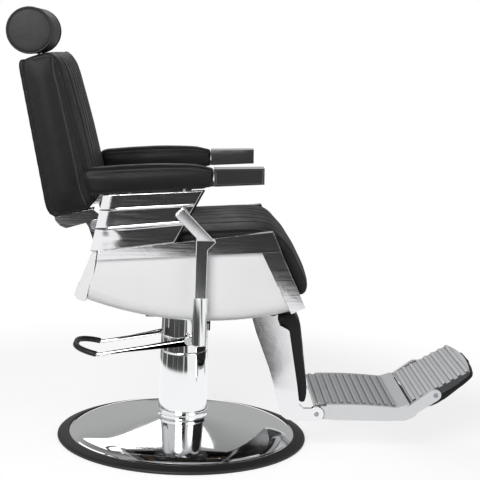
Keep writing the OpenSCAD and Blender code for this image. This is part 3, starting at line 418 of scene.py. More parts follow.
def turned(outlines, name, node, sharp, centre=Vector(), axis=Vector((0, 0, 1)), steps=144,
           closed=True):
    """A piece turned about an axis through centre, from outlines of (radius, place along the axis)
    in millimetres. An outline that isn't closed starts and ends near the axis."""
    bm = bmesh.new()
    for points in outlines:
        verts = [bm.verts.new(centre + (Vector((r, 0, 0)) + axis * a) * MM) for r, a in points]
        pairs = list(zip(verts, verts[1:])) + ([(verts[-1], verts[0])] if closed else [])
        edges = [bm.edges.new(pair) for pair in pairs]
        bmesh.ops.spin(bm, geom=verts + edges, cent=centre, axis=axis, angle=math.tau, steps=steps,
                       use_merge=True)
        bmesh.ops.remove_doubles(bm, verts=bm.verts, dist=2e-5)
        bmesh.ops.recalc_face_normals(bm, faces=bm.faces)
    piece = add_piece(bm, name, node, sharp)
    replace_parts(piece, node)
    return piece


# --- The stage

CAMERA_PLACE = Vector((0.0006, -3.281, 1.0331))
CAMERA_YAW = math.radians(-2.39)
CAMERA_PITCH = math.radians(8.68)
CAMERA_ROLL = math.radians(-2.07)
CAMERA_LENS = 95.03


def add_camera():
    turn = (Matrix.Rotation(CAMERA_YAW, 4, "Z") @ Matrix.Rotation(-CAMERA_PITCH, 4, "X")
            @ Matrix.Rotation(CAMERA_ROLL, 4, "Y"))
    camera = linked("camera", bpy.data.cameras.new("camera"))
    camera.data.lens = CAMERA_LENS
    camera.data.sensor_width = 36
    camera.data.sensor_fit = "HORIZONTAL"
    # a camera looks along its own -Z, where the turn above starts from +Y
    camera.matrix_world = Matrix.Translation(CAMERA_PLACE) @ turn @ Matrix.Rotation(math.pi / 2, 4, "X")
    bpy.context.scene.camera = camera


WORLD_LIGHT = 0.22
FLOOR_GLOW = 0.7
WHITE = (1, 1, 1, 1)
# each lamp's place, the point that it is aimed at, its width and height, and its power in watts
LAMPS = {
    "key": ((-1.0, -3.2, 1.9), (0, 0, 0.55), (1.8, 1.8), 78),
    "fill": ((2.3, -2.3, 1.5), (0, 0, 0.5), (1.4, 1.8), 14),
    "back": ((-0.6, 2.6, 2.2), (0, 0, 0.7), (2.0, 1.2), 10),
}


def background_rays(add):
    """1 for rays that see the plain background: from the camera, off gloss and through glass."""
    path = add("LightPath")
    seen = add("Math", {
        0: path.outputs["Is Camera Ray"], 1: path.outputs["Is Glossy Ray"]}, operation="MAXIMUM")
    seen = add("Math", {
        0: seen, 1: path.outputs["Is Transmission Ray"]}, operation="MAXIMUM")
    return seen, path.outputs["Is Glossy Ray"]


def fades(add, level, *steps):
    """A level brought down step by step: each step is a value, where its fade starts and ends, and
    the share of the level that is left past its end."""
    for value, start, end, left in steps:
        kept = add("Math", {0: level, 1: left}, operation="MULTIPLY")
        level = add("MapRange", {
            "Value": value, "From Min": start, "From Max": end, "To Min": level, "To Max": kept},
            interpolation_type="SMOOTHSTEP")
    return level


def studio_surface(add, place):
    """A pale studio. Gloss alone sees it white at the sides, greyer behind and overhead, and black
    beyond the camera as if a flag hung there: painted reflection, which lights nothing."""
    shown, glossy = background_rays(add)
    across, ahead, up = add("SeparateXYZ", {"Vector": add("TexCoord").outputs["Generated"]}).outputs
    # the painted flag, a dark patch that only gloss sees, is black where these three fades meet
    painted_flag = fades(add, 1.0, (ahead, -0.8, -0.7, 0.0), (across, -0.2, -0.3, 0.0),
                 (across, 0.2, 0.34, 0.0))
    level = fades(add, 1.0, (up, 0.3, 0.8, 0.4), (ahead, 0.15, 0.6, 0.42), (painted_flag, 0.0, 1.0, 0.04))
    seen = add("Mix", {0: glossy, 2: 1.0, 3: level}, data_type="FLOAT")
    background = add("Background", {"Color": WHITE, "Strength": seen})
    light = add("Background", {"Color": WHITE, "Strength": WORLD_LIGHT})
    return add("MixShader", {0: shown, 1: light, 2: background})


def sweep_surface(add, place):
    """A white sweep. Gloss sees it darken past the camera, and in a streaky ring round the chair: painted
    reflection, as the sweep itself is evenly pale.
    """
    shown, glossy = background_rays(add)
    matt = add("BsdfDiffuse", {"Color": (*srgb("bcbcbc"), 1)})
    x, y, _ = add("SeparateXYZ", {"Vector": place}).outputs
    reach = add("VectorMath", {0: place}, operation="LENGTH").outputs["Value"]
    turn = add("Math", {0: y, 1: x}, operation="ARCTAN2")
    painted_streaks = add("TexNoise", {"W": turn, "Scale": 3.0, "Detail": 4.0}, noise_dimensions="1D")
    # painted reflection: a dark, streaky ring round the chair that only gloss sees
    ring = fades(add, 1.0, (reach, 0.9, 0.82, 0.0), (reach, 2.0, 2.6, 0.0), (x, 0.22, 0.4, 0.15),
                 (painted_streaks, 0.5, 0.6, 0.45))
    # gloss sees the sweep's far edge at a slant, nearer on the side that the sitter faces: painted reflection, as
    # the floor itself runs on
    slant = add("Math", {0: x, 1: 1.7, 2: -3.3}, operation="MULTIPLY_ADD")
    past = add("Math", {0: slant, 1: y}, operation="SUBTRACT")
    past = fades(add, 1.0, (past, 0.14, -0.14, 0.0), (x, -0.9, -1.3, 0.0), (x, 1.0, 1.5, 0.0))
    level = fades(add, 1.0, (ring, 0.0, 1.0, 0.06), (past, 0.0, 1.0, 0.04), (y, 0.8, 1.6, 0.45))
    painted_reflection = add("Emission", {"Color": WHITE, "Strength": level})
    # under the chair the sweep shows its shadow, and further out it is plain white
    pale = add("Emission", {"Color": WHITE, "Strength": FLOOR_GLOW})
    shadowed = add("AddShader", {0: matt, 1: pale})
    plain = add("Emission", {"Color": WHITE, "Strength": 1.0})
    lit = add("MixShader", {
        0: fades(add, 1.0, (reach, 1.5, 0.9, 0.0)), 1: shadowed, 2: plain})
    seen = add("MixShader", {0: glossy, 1: lit, 2: painted_reflection})
    return add("MixShader", {0: shown, 1: matt, 2: seen})


def add_floor():
    bm = bmesh.new()
    bmesh.ops.create_grid(bm, x_segments=1, y_segments=1, size=7)
    mesh = bpy.data.meshes.new("floor")
    write(bm, mesh)
    sweep = bpy.data.materials.new("white_sweep")
    mesh.materials.append(shaded(sweep, "OutputMaterial", sweep_surface))
    linked("floor", mesh)


def add_lamp(name, place, aim, size, power):
    data = bpy.data.lights.new(name, "AREA")
    data.shape = "RECTANGLE"
    data.size, data.size_y = size
    data.energy = power
    lamp = linked(name, data)
    lamp.location = place
    lamp.rotation_euler = (Vector(aim) - Vector(place)).to_track_quat("-Z", "Y").to_euler()


class CHAIR_OT_stage(bpy.types.Operator):
    """Adds the plain studio: sweep, soft lamps and the camera"""
    bl_idname = "barber_chair.stage"
    bl_label = "Studio"

    def execute(self, context):
        context.scene.view_settings.view_transform = "Standard"
        add_camera()
        context.scene.world = shaded(bpy.data.worlds.new("studio"), "OutputWorld", studio_surface)
        add_floor()
        for name, lamp in LAMPS.items():
            add_lamp(name, *lamp)
        return {"FINISHED"}


# --- Base and column

def dome_points(rim_r, rim_z, flat_r, top_z, wall, steps=40):
    """The dome's outside from rim to flat, and its inside back. It is rounded at the rim, then
    nearly a cone."""
    outside = []
    for t in ((k / steps) ** 1.4 for k in range(steps + 1)):
        rise = 0.79 * t + 0.21 * (1 - math.exp(-t / 0.07))
        outside.append((rim_r + (flat_r - rim_r) * t, rim_z + (top_z - rim_z) * rise))
    return outside, [(r, z - wall) for r, z in reversed(outside)]


def offset_points(r, z, *steps):
    """Profile points given by their distances from a radius and a height."""
    return [(r + across, z + up) for across, up in steps]


class CHAIR_OT_base(bpy.types.Operator):
    """Adds the chromed base dome, its rubber ring, the column's tube and its collar"""
    bl_idname = "barber_chair.base"
    bl_label = "Base"

    def execute(self, context):
        dome_r, dome_top = reach_and_top("base_dome")
        ring_r, ring_top = reach_and_top("base_ring")
        tube_r, seam_z = reach_and_top("column_tube")
        collar_r, collar_top = reach_and_top("base_collar")
        bore_r, wall = 49, 3
        rim = [(dome_r - wall, 6), (dome_r, 6)] + offset_points(
            dome_r, ring_top, (0, -3), (-0.8, -1.9), (-2.5, -1))
        outside, inside = dome_points(dome_r - 5.7, ring_top - 0.5, tube_r + 6, dome_top, wall)
        bore = [(bore_r, dome_top), (bore_r, dome_top - wall)]
        turned([rim + outside + bore + inside + [(dome_r - wall, ring_top - wall - 3)]],
               "dome", "base_dome", 50)
        turned([[(dome_r - 7.7, 0)]
                + offset_points(ring_r, 0, (-5, 0), (-2, 0.6), (-0.5, 2.2), (0, 4.6), (-0.6, 7),
                                (-2.4, 8.9), (-9, 11.4))
                + offset_points(dome_r, ring_top, (9, -1.2), (5.5, -0.1), (3, 0), (1.2, -0.8),
                                (0.4, -2.6))
                + [(dome_r + 0.4, 6), (dome_r - 7.7, 6)]], "rubber_ring", "base_ring", 60)
        turned([offset_points(tube_r, dome_top, (0, 0), (-0.1, 6))
                + offset_points(tube_r, seam_z, (-2.3, -8), (-2.4, -2.4), (-3.2, -0.7), (-4.4, 0),
                                (-16, 0), (-16, -4), (-4.8, -4))
                + [(tube_r - 2, dome_top)]], "column_sleeve", "column_tube", 50)
        turned([[(tube_r + 0.2, dome_top)]
                + offset_points(collar_r, dome_top, (-0.6, 0), (0, 0.8), (0, 2.4), (-1, 4.4))
                + offset_points(collar_r, collar_top, (-1.1, -5.6), (-0.2, -3.4), (0, -1.6),
                                (-0.9, -0.2), (-2, 0))
                + [(tube_r + 0.2, collar_top)]], "collar", "base_collar", 50)
        return {"FINISHED"}


class CHAIR_OT_pump(bpy.types.Operator):
    """Adds the pump's chromed head, its hook and the foot lever"""
    bl_idname = "barber_chair.pump"
    bl_label = "Pump"

    def execute(self, context):
        eased("head_cover", "pump_head", 0.5, sharp=34, flat=0.2)
        eased("lock_lever", "swivel_hook", chair_size("fine_edge"))
        eased("lever_rod", "foot_lever", 0.5, flat=0.2)
        eased("lever_grip", "foot_grip", 1.2, segments=3, flat=0.2)
        eased("lever_studs", "lever_bosses", chair_size("fine_edge"), flat=0.2)
        return {"FINISHED"}


# --- Seat frame

PANEL_TOP = 156
PANEL_REAR = (-231, -192)
PANEL_FRONT = (-30, 45)
RIDGES = (0.0, 0.40, 0.73, 1.0)
RIDGE_HALF = 0.3
# how far the back brackets' outer faces lean in, and how far the lever's bar stands out on both
# sides of its knee, per unit of height
BRACKET_LEAN = 0.02
KNEE_SHARE = 0.36
BAR_BEND = (0.035, 0.04)


def rail_top(x):
    """Height of the side rail's top edge in the seat frame."""
    return 21 + (x + 212) * 28 / 421


def panel_point(along, up):
    """A point of the side panel's face, along from rear to front and up from rail to arm, 0 to 1."""
    low = PANEL_REAR[0] + (PANEL_FRONT[0] - PANEL_REAR[0]) * along
    high = PANEL_REAR[1] + (PANEL_FRONT[1] - PANEL_REAR[1]) * along
    base = max(rail_top(low), 21)
    return low + (high - low) * up, base + (PANEL_TOP - base) * up


def panel_relief(along, up):
    """How far inside its outermost plane the panel's face lies, in millimetres."""
    x, z = panel_point(along, up)
    rear_x, _ = panel_point(0, up)
    front_x, _ = panel_point(1, up)
    _, foot_z = panel_point(along, 0)
    from_rear = x - rear_x
    from_edge = min(front_x - x, PANEL_TOP - z, z - foot_z)
    depth = 1.2 * (2 - between(up, RIDGES[1] - 0.012, RIDGES[1] + 0.012)
                   - between(up, RIDGES[2] - 0.012, RIDGES[2] + 0.012))
    for low, high in zip(RIDGES, RIDGES[1:]):
        # a field is bounded by the ridges, fades out to the rear, and runs out at the other edges
        z0 = foot_z + (PANEL_TOP - foot_z) * low + (RIDGE_HALF if low else -20)
        z1 = foot_z + (PANEL_TOP - foot_z) * high - (RIDGE_HALF if high < 1 else -20)
        depth += 1.5 * between(min(z - z0, z1 - z), 0, 1.5) * between(from_rear, 14, 44)
    # the lower field leans back a little where it is flat
    lean = min(1, up / RIDGES[1]) * (1 - between(up, RIDGES[1] - 0.06, RIDGES[1]))
    depth += 0.9 * lean * between(from_rear, 44, 90)
    nose = 40 + 44 * (1 - between(up, 0.15, 0.45))
    depth += 7.5 * max(0, 1 - from_rear / nose) ** 3
    if from_edge < 2:
        depth += 2 - math.sqrt(max(0, 4 - (2 - from_edge) ** 2))
    return depth


def crowded(value):
    """Spreads grid lines closer together near both ends."""
    return 0.6 * value + 0.4 * (0.5 - 0.5 * math.cos(math.pi * value))


def side_panel(node, name, side):
    """A cast side panel: three recessed fields between ridges, and a bull-nosed rear edge."""
    outer = half_width(node)
    bm = bmesh.new()
    bmesh.ops.create_grid(bm, x_segments=150, y_segments=90, size=0.5)
    inner = outer - 12 * MM
    for vertex in bm.verts:
        along, up = crowded(vertex.co.x + 0.5), crowded(vertex.co.y + 0.5)
        x, z = panel_point(along, up)
        y = outer / MM - panel_relief(along, up)
        vertex.co = SEAT @ Vector((x * MM, side * y * MM, z * MM))
    rim = [e for e in bm.edges if len(e.link_faces) == 1]
    wall = bmesh.ops.extrude_edge_only(bm, edges=rim)["geom"]
    for vertex in (g for g in wall if isinstance(g, bmesh.types.BMVert)):
        vertex.co.y = side * inner
    bmesh.ops.holes_fill(bm, edges=[e for e in bm.edges if len(e.link_faces) == 1], sides=0)
    bmesh.ops.recalc_face_normals(bm, faces=bm.faces)
    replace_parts(add_piece(bm, name, node, sharp=50), node)


class CHAIR_OT_shells(bpy.types.Operator):
    """Adds the white enamelled shells under the seat"""
    bl_idname = "barber_chair.shells"
    bl_label = "Shells"

    def execute(self, context):
        for side, label in SIDES:
            shell = eased(f"side_shell_{label}", f"shell_{label}", 0.8, sharp=34, flat=0.2)
            # enamel is sprayed on the outside only: the inner side stays bare zinc
            refinish(shell, "zinc_steel", lambda face: face.normal.y * side < -0.4)
        eased("rear_shell", "shell_rear", 2.2, segments=3)
        eased("shell_screws", "shell_feet", 0.6)
        return {"FINISHED"}


class CHAIR_OT_castings(bpy.types.Operator):
    """Adds the polished side frames, side panels, arm ends and back brackets"""
    bl_idname = "barber_chair.castings"
    bl_label = "Castings"

    def execute(self, context):
        for side, label in SIDES:
            eased(f"side_rail_{label}", f"rail_{label}", chair_size("edge"))
            side_panel(f"side_panel_{label}", f"panel_{label}", side)
            eased(f"arm_tip_{label}", f"arm_end_{label}", chair_size("fine_edge"))
        hinges = eased("back_brackets", "back_hinges", chair_size("edge"))
        outer, foot = half_width("back_brackets"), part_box("back_brackets")[0].z
        for vertex in hinges.data.vertices:
            # the brackets' outer faces lean in towards their tops
            if abs(vertex.co.y) > outer - 4 * MM:
                vertex.co.y -= math.copysign(BRACKET_LEAN * (vertex.co.z - foot), vertex.co.y)
        eased("panel_liners", "liners", 3, segments=3)
        return {"FINISHED"}


class CHAIR_OT_recline_lever(bpy.types.Operator):
    """Adds the flat recline lever and its round handle"""
    bl_idname = "barber_chair.recline_lever"
    bl_label = "Recline lever"

    def execute(self, context):
        bar = eased("recline_bar", "lever_bar", chair_size("edge"), finish="brushed_aluminium")
        low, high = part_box("recline_bar")
        knee = high.z - KNEE_SHARE * (high.z - low.z)
        bm = editable(bar.data)
        bend = bmesh.ops.bisect_plane(bm, geom=bm.verts[:] + bm.edges[:] + bm.faces[:],
                                      plane_co=(0, 0, knee), plane_no=(0, 0, 1))["geom_cut"]
        for edge in (g for g in bend if isinstance(g, bmesh.types.BMEdge)):
            edge.smooth = False
        for vertex in bm.verts:
            # the bar is bent a little at its knee, so that both ends stand further out
            above, below = max(0, vertex.co.z - knee), max(0, knee - vertex.co.z)
            vertex.co.y -= above * BAR_BEND[0] + below * BAR_BEND[1] - 1.5 * MM
        write(bm, bar.data)
        eased("recline_handle", "lever_handle", 0.6, sharp=34, flat=0.2)
        return {"FINISHED"}


# --- Upholstery

CLOTH_STEPS = 20
CLOTH = {"quality": 4, "mass": 0.3, "vertex_group_mass": "sewn", "tension_stiffness": 10,
         "compression_stiffness": 10, "bending_stiffness": 3.0, "use_pressure": True,
         "uniform_pressure_force": 4.0}

def hump(value, centre, width):
    """Bell curve, 1 at its centre."""
    return math.exp(-((value - centre) / width) ** 2)


def smoothed(bm, verts, passes):
    """Evens out the given vertices, pass by pass."""
    for _ in range(passes):
        bmesh.ops.smooth_vert(bm, verts=verts, factor=0.5, use_axis_x=True, use_axis_y=True,
                              use_axis_z=True)


def inflated(piece, hold, draw_in, cap):
    """Draws a cover in by draw_in millimetres, then lets it swell as cloth under pressure, by cap
    millimetres at most. hold says how firmly each vertex is sewn down, 0 to 1."""
    scene, mesh = bpy.context.scene, piece.data
    inward = [v.normal * (-draw_in * MM) for v in mesh.vertices]
    for vertex, held, move in zip(mesh.vertices, hold, inward):
        vertex.co += move * (1 - held)
    start = [v.co.copy() for v in mesh.vertices]
    group = piece.vertex_groups.new(name="sewn")
    for vertex, held in zip(mesh.vertices, hold):
        group.add([vertex.index], held, "REPLACE")
    cloth = piece.modifiers.new("padding", "CLOTH")
    for name, value in CLOTH.items():
        setattr(cloth.settings, name, value)
    cloth.settings.effector_weights.gravity = 0
    cloth.collision_settings.use_collision = False
    for step in range(1, CLOTH_STEPS + 1):
        scene.frame_set(step)
    view = bpy.context.evaluated_depsgraph_get()
    moved = [v.co.copy() for v in piece.evaluated_get(view).data.vertices]
    piece.modifiers.clear()
    piece.vertex_groups.clear()
    scene.frame_set(1)
    for vertex, before, after in zip(mesh.vertices, start, moved):
        step = after - before
        vertex.co = before + step * min(1, cap * MM / max(step.length, 1e-9))


def swollen(node, name, place, sewn, draw_in, cap):
    """A soft node's form, on an even grid and swollen as a stuffed cover. sewn(x, y, z) is 1 where
    the cover is sewn down or rests on a board, in millimetres in the frame place."""
    bm = editable(frame["nodes"][node].data)
    bmesh.ops.remove_doubles(bm, verts=bm.verts, dist=2e-6)
    piece = add_piece(bm, name, node)
    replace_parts(piece, node)
    remesh = piece.modifiers.new("even", "REMESH")
    remesh.mode = "VOXEL"
    remesh.voxel_size = chair_size("voxel") * MM
    view = bpy.context.evaluated_depsgraph_get()
    mesh = bpy.data.meshes.new_from_object(piece.evaluated_get(view))
    piece.modifiers.clear()
    mesh.materials.clear()
    mesh.materials.append(piece.data.materials[0])
    piece.data = mesh
    inverse = place.inverted()
    inflated(piece, [sewn(*((inverse @ v.co) / MM)) for v in mesh.vertices], draw_in, cap)
    bm = editable(mesh)
    smoothed(bm, bm.verts, 5)
    bmesh.ops.subdivide_edges(bm, edges=bm.edges, cuts=1, use_grid_fill=True, smooth=0.5)
    write(bm, mesh)
    refit(mesh, frame["nodes"][node].data, inverse)
    mesh.shade_smooth()
    return piece


def extent(points):
    """Lowest and highest value on each axis."""
    return [(min(p[k] for p in points), max(p[k] for p in points)) for k in range(3)]


def refit(mesh, solid, inverse):
    """Stretches a swollen form to the extent of its solid, along the axes of its place."""
    have = extent([inverse @ v.co for v in mesh.vertices])
    want = extent([inverse @ v.co for v in solid.vertices])
    place = inverse.inverted()
    for vertex in mesh.vertices:
        at = inverse @ vertex.co
        vertex.co = place @ Vector([low + (at[k] - had[0]) * (high - low) / (had[1] - had[0])
                                    for k, (had, (low, high)) in enumerate(zip(have, want))])


def relaxed(piece, place, chosen, passes):
    """Smooths a swollen piece where chosen(x, y, z) holds, in millimetres in the frame place."""
    inverse = place.inverted()
    bm = editable(piece.data)
    smoothed(bm, [v for v in bm.verts if chosen(*((inverse @ v.co) / MM))], passes)
    write(bm, piece.data)


def pressed(piece, place, depth):
    """Presses seams into a swollen piece, by depth(x, y, z, normal) millimetres along its normals."""
    inverse = place.inverted()
    turn = inverse.to_3x3()
    normals = [v.normal.copy() for v in piece.data.vertices]
    for vertex, normal in zip(piece.data.vertices, normals):
        at = (inverse @ vertex.co) / MM
        vertex.co -= normal * (depth(at.x, at.y, at.z, turn @ normal) * MM)
    piece.data.update()


def skin_points(piece, place, rays, sink):
    """Points sink millimetres below a piece's skin, where rays from its inside leave it. Each ray
    is a start in millimetres and a direction, both in the frame place."""
    bm = editable(piece.data)
    tree = BVHTree.FromBMesh(bm)
    bm.free()
    turn = place.to_3x3()
    points = []
    for start, direction in rays:
        heading = (turn @ Vector(direction)).normalized()
        hit = tree.ray_cast(place @ (Vector(start) * MM), heading)[0]
        if hit is None:
            raise RuntimeError(f"{piece.name}: no skin beyond {start}")
        points.append(hit - heading * sink * MM)
    return points


def piping(name, points, body, like="vinyl", radius=None, closed=False):
    """A sewn piping cord through world points. It rides with a body, and takes the cap vinyl; like is not used."""
    curve = bpy.data.curves.new(name, "CURVE")
    curve.dimensions = "3D"
    curve.bevel_depth = (radius or chair_size("piping")) * MM
    curve.bevel_resolution = 3
    curve.use_fill_caps = True
    curve.resolution_u = 6
    spline = curve.splines.new("BEZIER")
    spline.bezier_points.add(len(points) - 1)
    spline.use_cyclic_u = closed
    for knot, point in zip(spline.bezier_points, points):
        knot.co = point
        knot.handle_left_type = knot.handle_right_type = "AUTO"
    cord = linked(name + "_curve", curve)
    view = bpy.context.evaluated_depsgraph_get()
    mesh = bpy.data.meshes.new_from_object(cord.evaluated_get(view))
    bpy.data.objects.remove(cord)
    mesh.name = name
    mesh.materials.clear()
    # the piping takes the greyer cap vinyl, whose lighter tone is a painted highlight along the cord
    mesh.materials.append(material("cap_vinyl"))
    mesh.shade_smooth()
    piece = linked(name, mesh)
    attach(piece, body)


def channels(y, half, count):
    """How deep in a sewn channel's valley y lies, 0 to 1, for channels between -half and half."""
    pitch = 2 * half / count
    lane = (y + half) / pitch
    nearest = round(lane)
    if nearest < 1 or nearest > count - 1:
        return 0
    return hump((lane - nearest) * pitch, 0, 4.5)


class CHAIR_OT_seat(bpy.types.Operator):
    """Adds the seat cushion with its channels, hanging front flap and piping"""
    bl_idname = "barber_chair.seat"
    bl_label = "Seat cushion"

    def execute(self, context):
        half = half_width("seat_cushion") / MM
        welt = half - 12

        def sewn(x, y, z):
            under = 1 - between(z + max(0, x - 205) * 2.5, 16, 30)
            side = between(abs(y), half - 9, half - 3)
            seam = hump(abs(y), welt, 7) * 0.9
            return max(under, side * 0.5, seam)

        cushion = swollen("seat_cushion", "seat_pad", SEAT, sewn, draw_in=2.5, cap=6)
        relaxed(cushion, SEAT, lambda x, y, z: x > 165 and z + (x - 205) * 0.5 > 20, 40)

        def seams(x, y, z, normal):
            lit = between(
                0.94 * normal.z + 0.34 * normal.x + between(x, 205, 240) * normal.x, 0.25, 0.6)
            valley = channels(y, welt, chair_size("channels")) * (1 - between(abs(y), welt - 8, welt))
            # the padding is fullest where the seat turns down to its flap
            crown = 5.5 * hump(x, 212, 24) * between(z, 5, 35) * (1 - (abs(y) / half) ** 6)
            return chair_size("channel_depth") * 0.32 * valley * lit * between(x, -188, -165) - crown

        pressed(cushion, SEAT, seams)
        # the welt's way: x and z of its rays' starts, and the angle at which they rise
        path = [(-176, 34, 88), (-120, 34, 90), (-40, 34, 90), (60, 34, 90), (150, 34, 88),
                (184, 30, 72), (204, 18, 50), (214, -6, 30), (224, -36, 22), (240, -76, 21),
                (252, -104, 10)]
        for side, label in SIDES:
            rays = [((x, side * (half - 30), z),
                     (math.cos(math.radians(a)), side * 1.15, math.sin(math.radians(a))))
                    for x, z, a in path]
            piping(f"seat_piping_{label}", skin_points(cushion, SEAT, rays, 0.8), "seat")
        return {"FINISHED"}


class CHAIR_OT_backrest(bpy.types.Operator):
    """Adds the channelled backrest cushion, its piping and its rear board"""
    bl_idname = "barber_chair.backrest"
    bl_label = "Backrest"

    def execute(self, context):
        half = half_width("back_cushion") / MM
        low, high = 40, 433

        def rear(z):
            return -88 - 14 * (high - z) / (high - low)

        def sewn(x, y, z):
            on_board = 1 - between(x, rear(z) + 3, rear(z) + 10)
            seam = hump(abs(y), half - 5, 6) * between(x, -26, -12)
            foot = 1 - between(z, low + 4, low + 12)
            return max(on_board, seam, foot * 0.8)

        cushion = swollen("back_cushion", "back_pad", BACK, sewn, draw_in=2.5, cap=6)
        relaxed(cushion, BACK, lambda x, y, z: x > -60 and z > high - 60, 30)

        def seams(x, y, z, normal):
            front = between(normal.x, 0.2, 0.6) * (1 - between(z, high - 10, high))
            valley = channels(y, half - 14, chair_size("channels"))
            valley *= 1 - between(abs(y), half - 22, half - 14)
            # the cover rolls round the rear board, which lies flush in it
            rim = max(between(abs(y), half - 24, half - 14), between(z, high - 44, high - 34),
                      1 - between(z, low + 26, low + 36))
            rolled = -8 * rim * between(-normal.x, 0.3, 0.9)
            # the side faces swell most along their middle
            across = between((x - rear(z)) / (-8 - rear(z)), 0, 1)
            along = between(z, low, low + 60) * (1 - between(z, high - 60, high))
            slack = 3.5 * (1 - math.sin(math.pi * across) * along) * between(abs(normal.y), 0.5, 0.9)
            return chair_size("channel_depth") * valley * front + rolled + slack

        pressed(cushion, BACK, seams)
        inner = half - 40
        top, bottom = high - 46, low + 44
        levels = (bottom, 150, 215, 280, 340, top)
        # the welt's way round the front: y and z of its rays' starts, and their direction
        way = [(-inner, z, (1.0, -1.25, 0)) for z in levels]
        way += [(-inner, top, (1.0, -1.0, 0.9)), (20 - inner, top, (0.95, -0.25, 1.25))]
        way += [(y, top, (0.95, 0, 1.25)) for y in (-100, 0, 100)]
        way += [(inner - 20, top, (0.95, 0.25, 1.25)), (inner, top, (1.0, 1.0, 0.9))]
        way += [(inner, z, (1.0, 1.25, 0)) for z in levels[::-1]]
        way += [(inner, bottom, (1.0, 1.0, -0.9))]
        way += [(y, bottom, (0.95, 0, -1.25)) for y in (120, 0, -120)]
        way += [(-inner, bottom, (1.0, -1.0, -0.9))]
        rays = [((-44, y, z), direction) for y, z, direction in way]
        piping("back_piping", skin_points(cushion, BACK, rays, 0.8), "backrest", closed=True)
        eased("back_panel", "rear_board", 3, segments=3)
        return {"FINISHED"}


class CHAIR_OT_headrest(bpy.types.Operator):
    """Adds the headrest roll with its end discs and piping"""
    bl_idname = "barber_chair.headrest"
    bl_label = "Headrest"

    def execute(self, context):
        low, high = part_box("headrest_roll")
        centre = (low + high) / 2
        radius = (high.z - low.z) / 2 / MM
        half = high.y / MM
        outer = half_width("headrest_caps") / MM
        core = 15
        profile = [(core, -half), (radius - 7, -half)]
        profile += [(radius - 5 * abs(at) ** 7, at * half) for at in (k / 13 - 1 for k in range(27))]
        profile += [(radius - 7, half), (core, half)]
        across = {"centre": Vector((centre.x, 0, centre.z)), "axis": Vector((0, 1, 0)), "steps": 96}
        roll = turned([profile], "head_roll", "headrest_roll", 60, **across)

        def gathers(x, y, z, normal):
            around = math.atan2(z - centre.z / MM, x - centre.x / MM)
            near_end = between(abs(y), half - 26, half - 4)
            return 0.7 * near_end * math.sin(around * 34 + math.sin(around * 5) * 2)

        pressed(roll, Matrix.Identity(4), gathers)
        disc = [(0.01, half + 0.3), (radius - 8, half + 0.3), (radius - 4.5, half + 1.5),
                (radius - 5, half + 3), (radius - 9, outer - 0.9), (radius - 18, outer),
                (0.01, outer + 0.6)]
        turned([[(r, side * y) for r, y in disc] for side, _ in SIDES],
               "roll_caps", "headrest_caps", 60, closed=False, **across)
        for side, label in SIDES:
            ring = [centre + Vector((math.cos(a) * (radius - 2.4), side * (half + 1.2),
                                     math.sin(a) * (radius - 2.4))) * MM
                    for a in (math.tau * k / 24 for k in range(24))]
            piping(f"roll_piping_{label}", ring, "headrest", like="vinyl_cap", closed=True)
        return {"FINISHED"}


class CHAIR_OT_arm_pads(bpy.types.Operator):
    """Adds the two padded arms with their piping"""
    bl_idname = "barber_chair.arm_pads"
    bl_label = "Arm pads"

    def execute(self, context):
        def sewn(x, y, z):
            return max(1 - between(z, 166, 176), between(x, 62, 70))

        def seams(x, y, z, normal):
            # two seams run side by side under the welt
            edge = (hump(z, 211, 1.8) + hump(z, 203, 1.5)) * between(abs(normal.y), 0.35, 0.7)
            return 1.6 * edge * between(x, -228, -216)

        for side, label in SIDES:
            node = f"arm_pad_{label}"
            middle = half_width(node) / MM - 27
            pad = swollen(node, f"arm_rest_{label}", SEAT, sewn, draw_in=2, cap=4)
            pressed(pad, SEAT, seams)
            for rim, edge in ((-1, "inner"), (1, "outer")):
                rays = [((x, side * (middle + rim * 8), z), (0.0, side * rim, 0.75)) for x, z in (
                    (-214, 200), (-150, 203), (-80, 204), (-10, 202), (40, 198), (70, 194))]
                piping(f"arm_piping_{label}_{edge}", skin_points(pad, SEAT, rays, 0.6), "seat",
                       radius=1.8)
        return {"FINISHED"}


class CHAIR_OT_leg_rest(bpy.types.Operator):
    """Adds the leg rest's arms and its calf pad"""
    bl_idname = "barber_chair.leg_rest"
    bl_label = "Leg rest"

    def execute(self, context):
        for _, label in SIDES:
            eased(f"leg_arm_{label}", f"leg_bar_{label}", chair_size("edge"))

        def sewn(x, y, z):
            # the rear of the pad lies on its board, which leans
            return 1 - between(x + 0.227 * (z + 57), 27.4, 37.4)

        pad = swollen("calf_pad", "calf_cushion", LEG, sewn, draw_in=1.5, cap=3)
        eased("foot_pins", "foot_hinge_pins", 0.6, flat=0.2)
        return {"FINISHED"}


def add_slot_shade():
    """A dark rubber sheet that closes the slot between the foot plate and the tip plate from below, put
    there as painted shade for the dark slot. It hangs from the foot plate and is curved about the tip plate's
    pivot, which swings past it."""
    pivot_x, pivot_z = TIP_PIVOT_IN_FOOT
    outline = [(229, 20.9), (229, 23.9), (240, 27.6)]
    arc = [math.radians(a) for a in range(26, 54, 3)]
    for radius, angles in ((66.3, arc), (68.8, arc[::-1])):
        outline += [(pivot_x - radius * math.cos(a), pivot_z - radius * math.sin(a)) for a in angles]
    bm = bmesh.new()
    near, far = ([bm.verts.new(FOOT @ (Vector((x, y, z)) * MM)) for x, z in outline]
                 for y in (-124, 124))
    for k in range(len(outline)):
        bm.faces.new((near[k - 1], near[k], far[k], far[k - 1]))
    bm.faces.new(near)
    bm.faces.new(far)
    bmesh.ops.recalc_face_normals(bm, faces=bm.faces)
    add_piece(bm, "slot_shade_sheet", "base_ring", body="foot_rest")


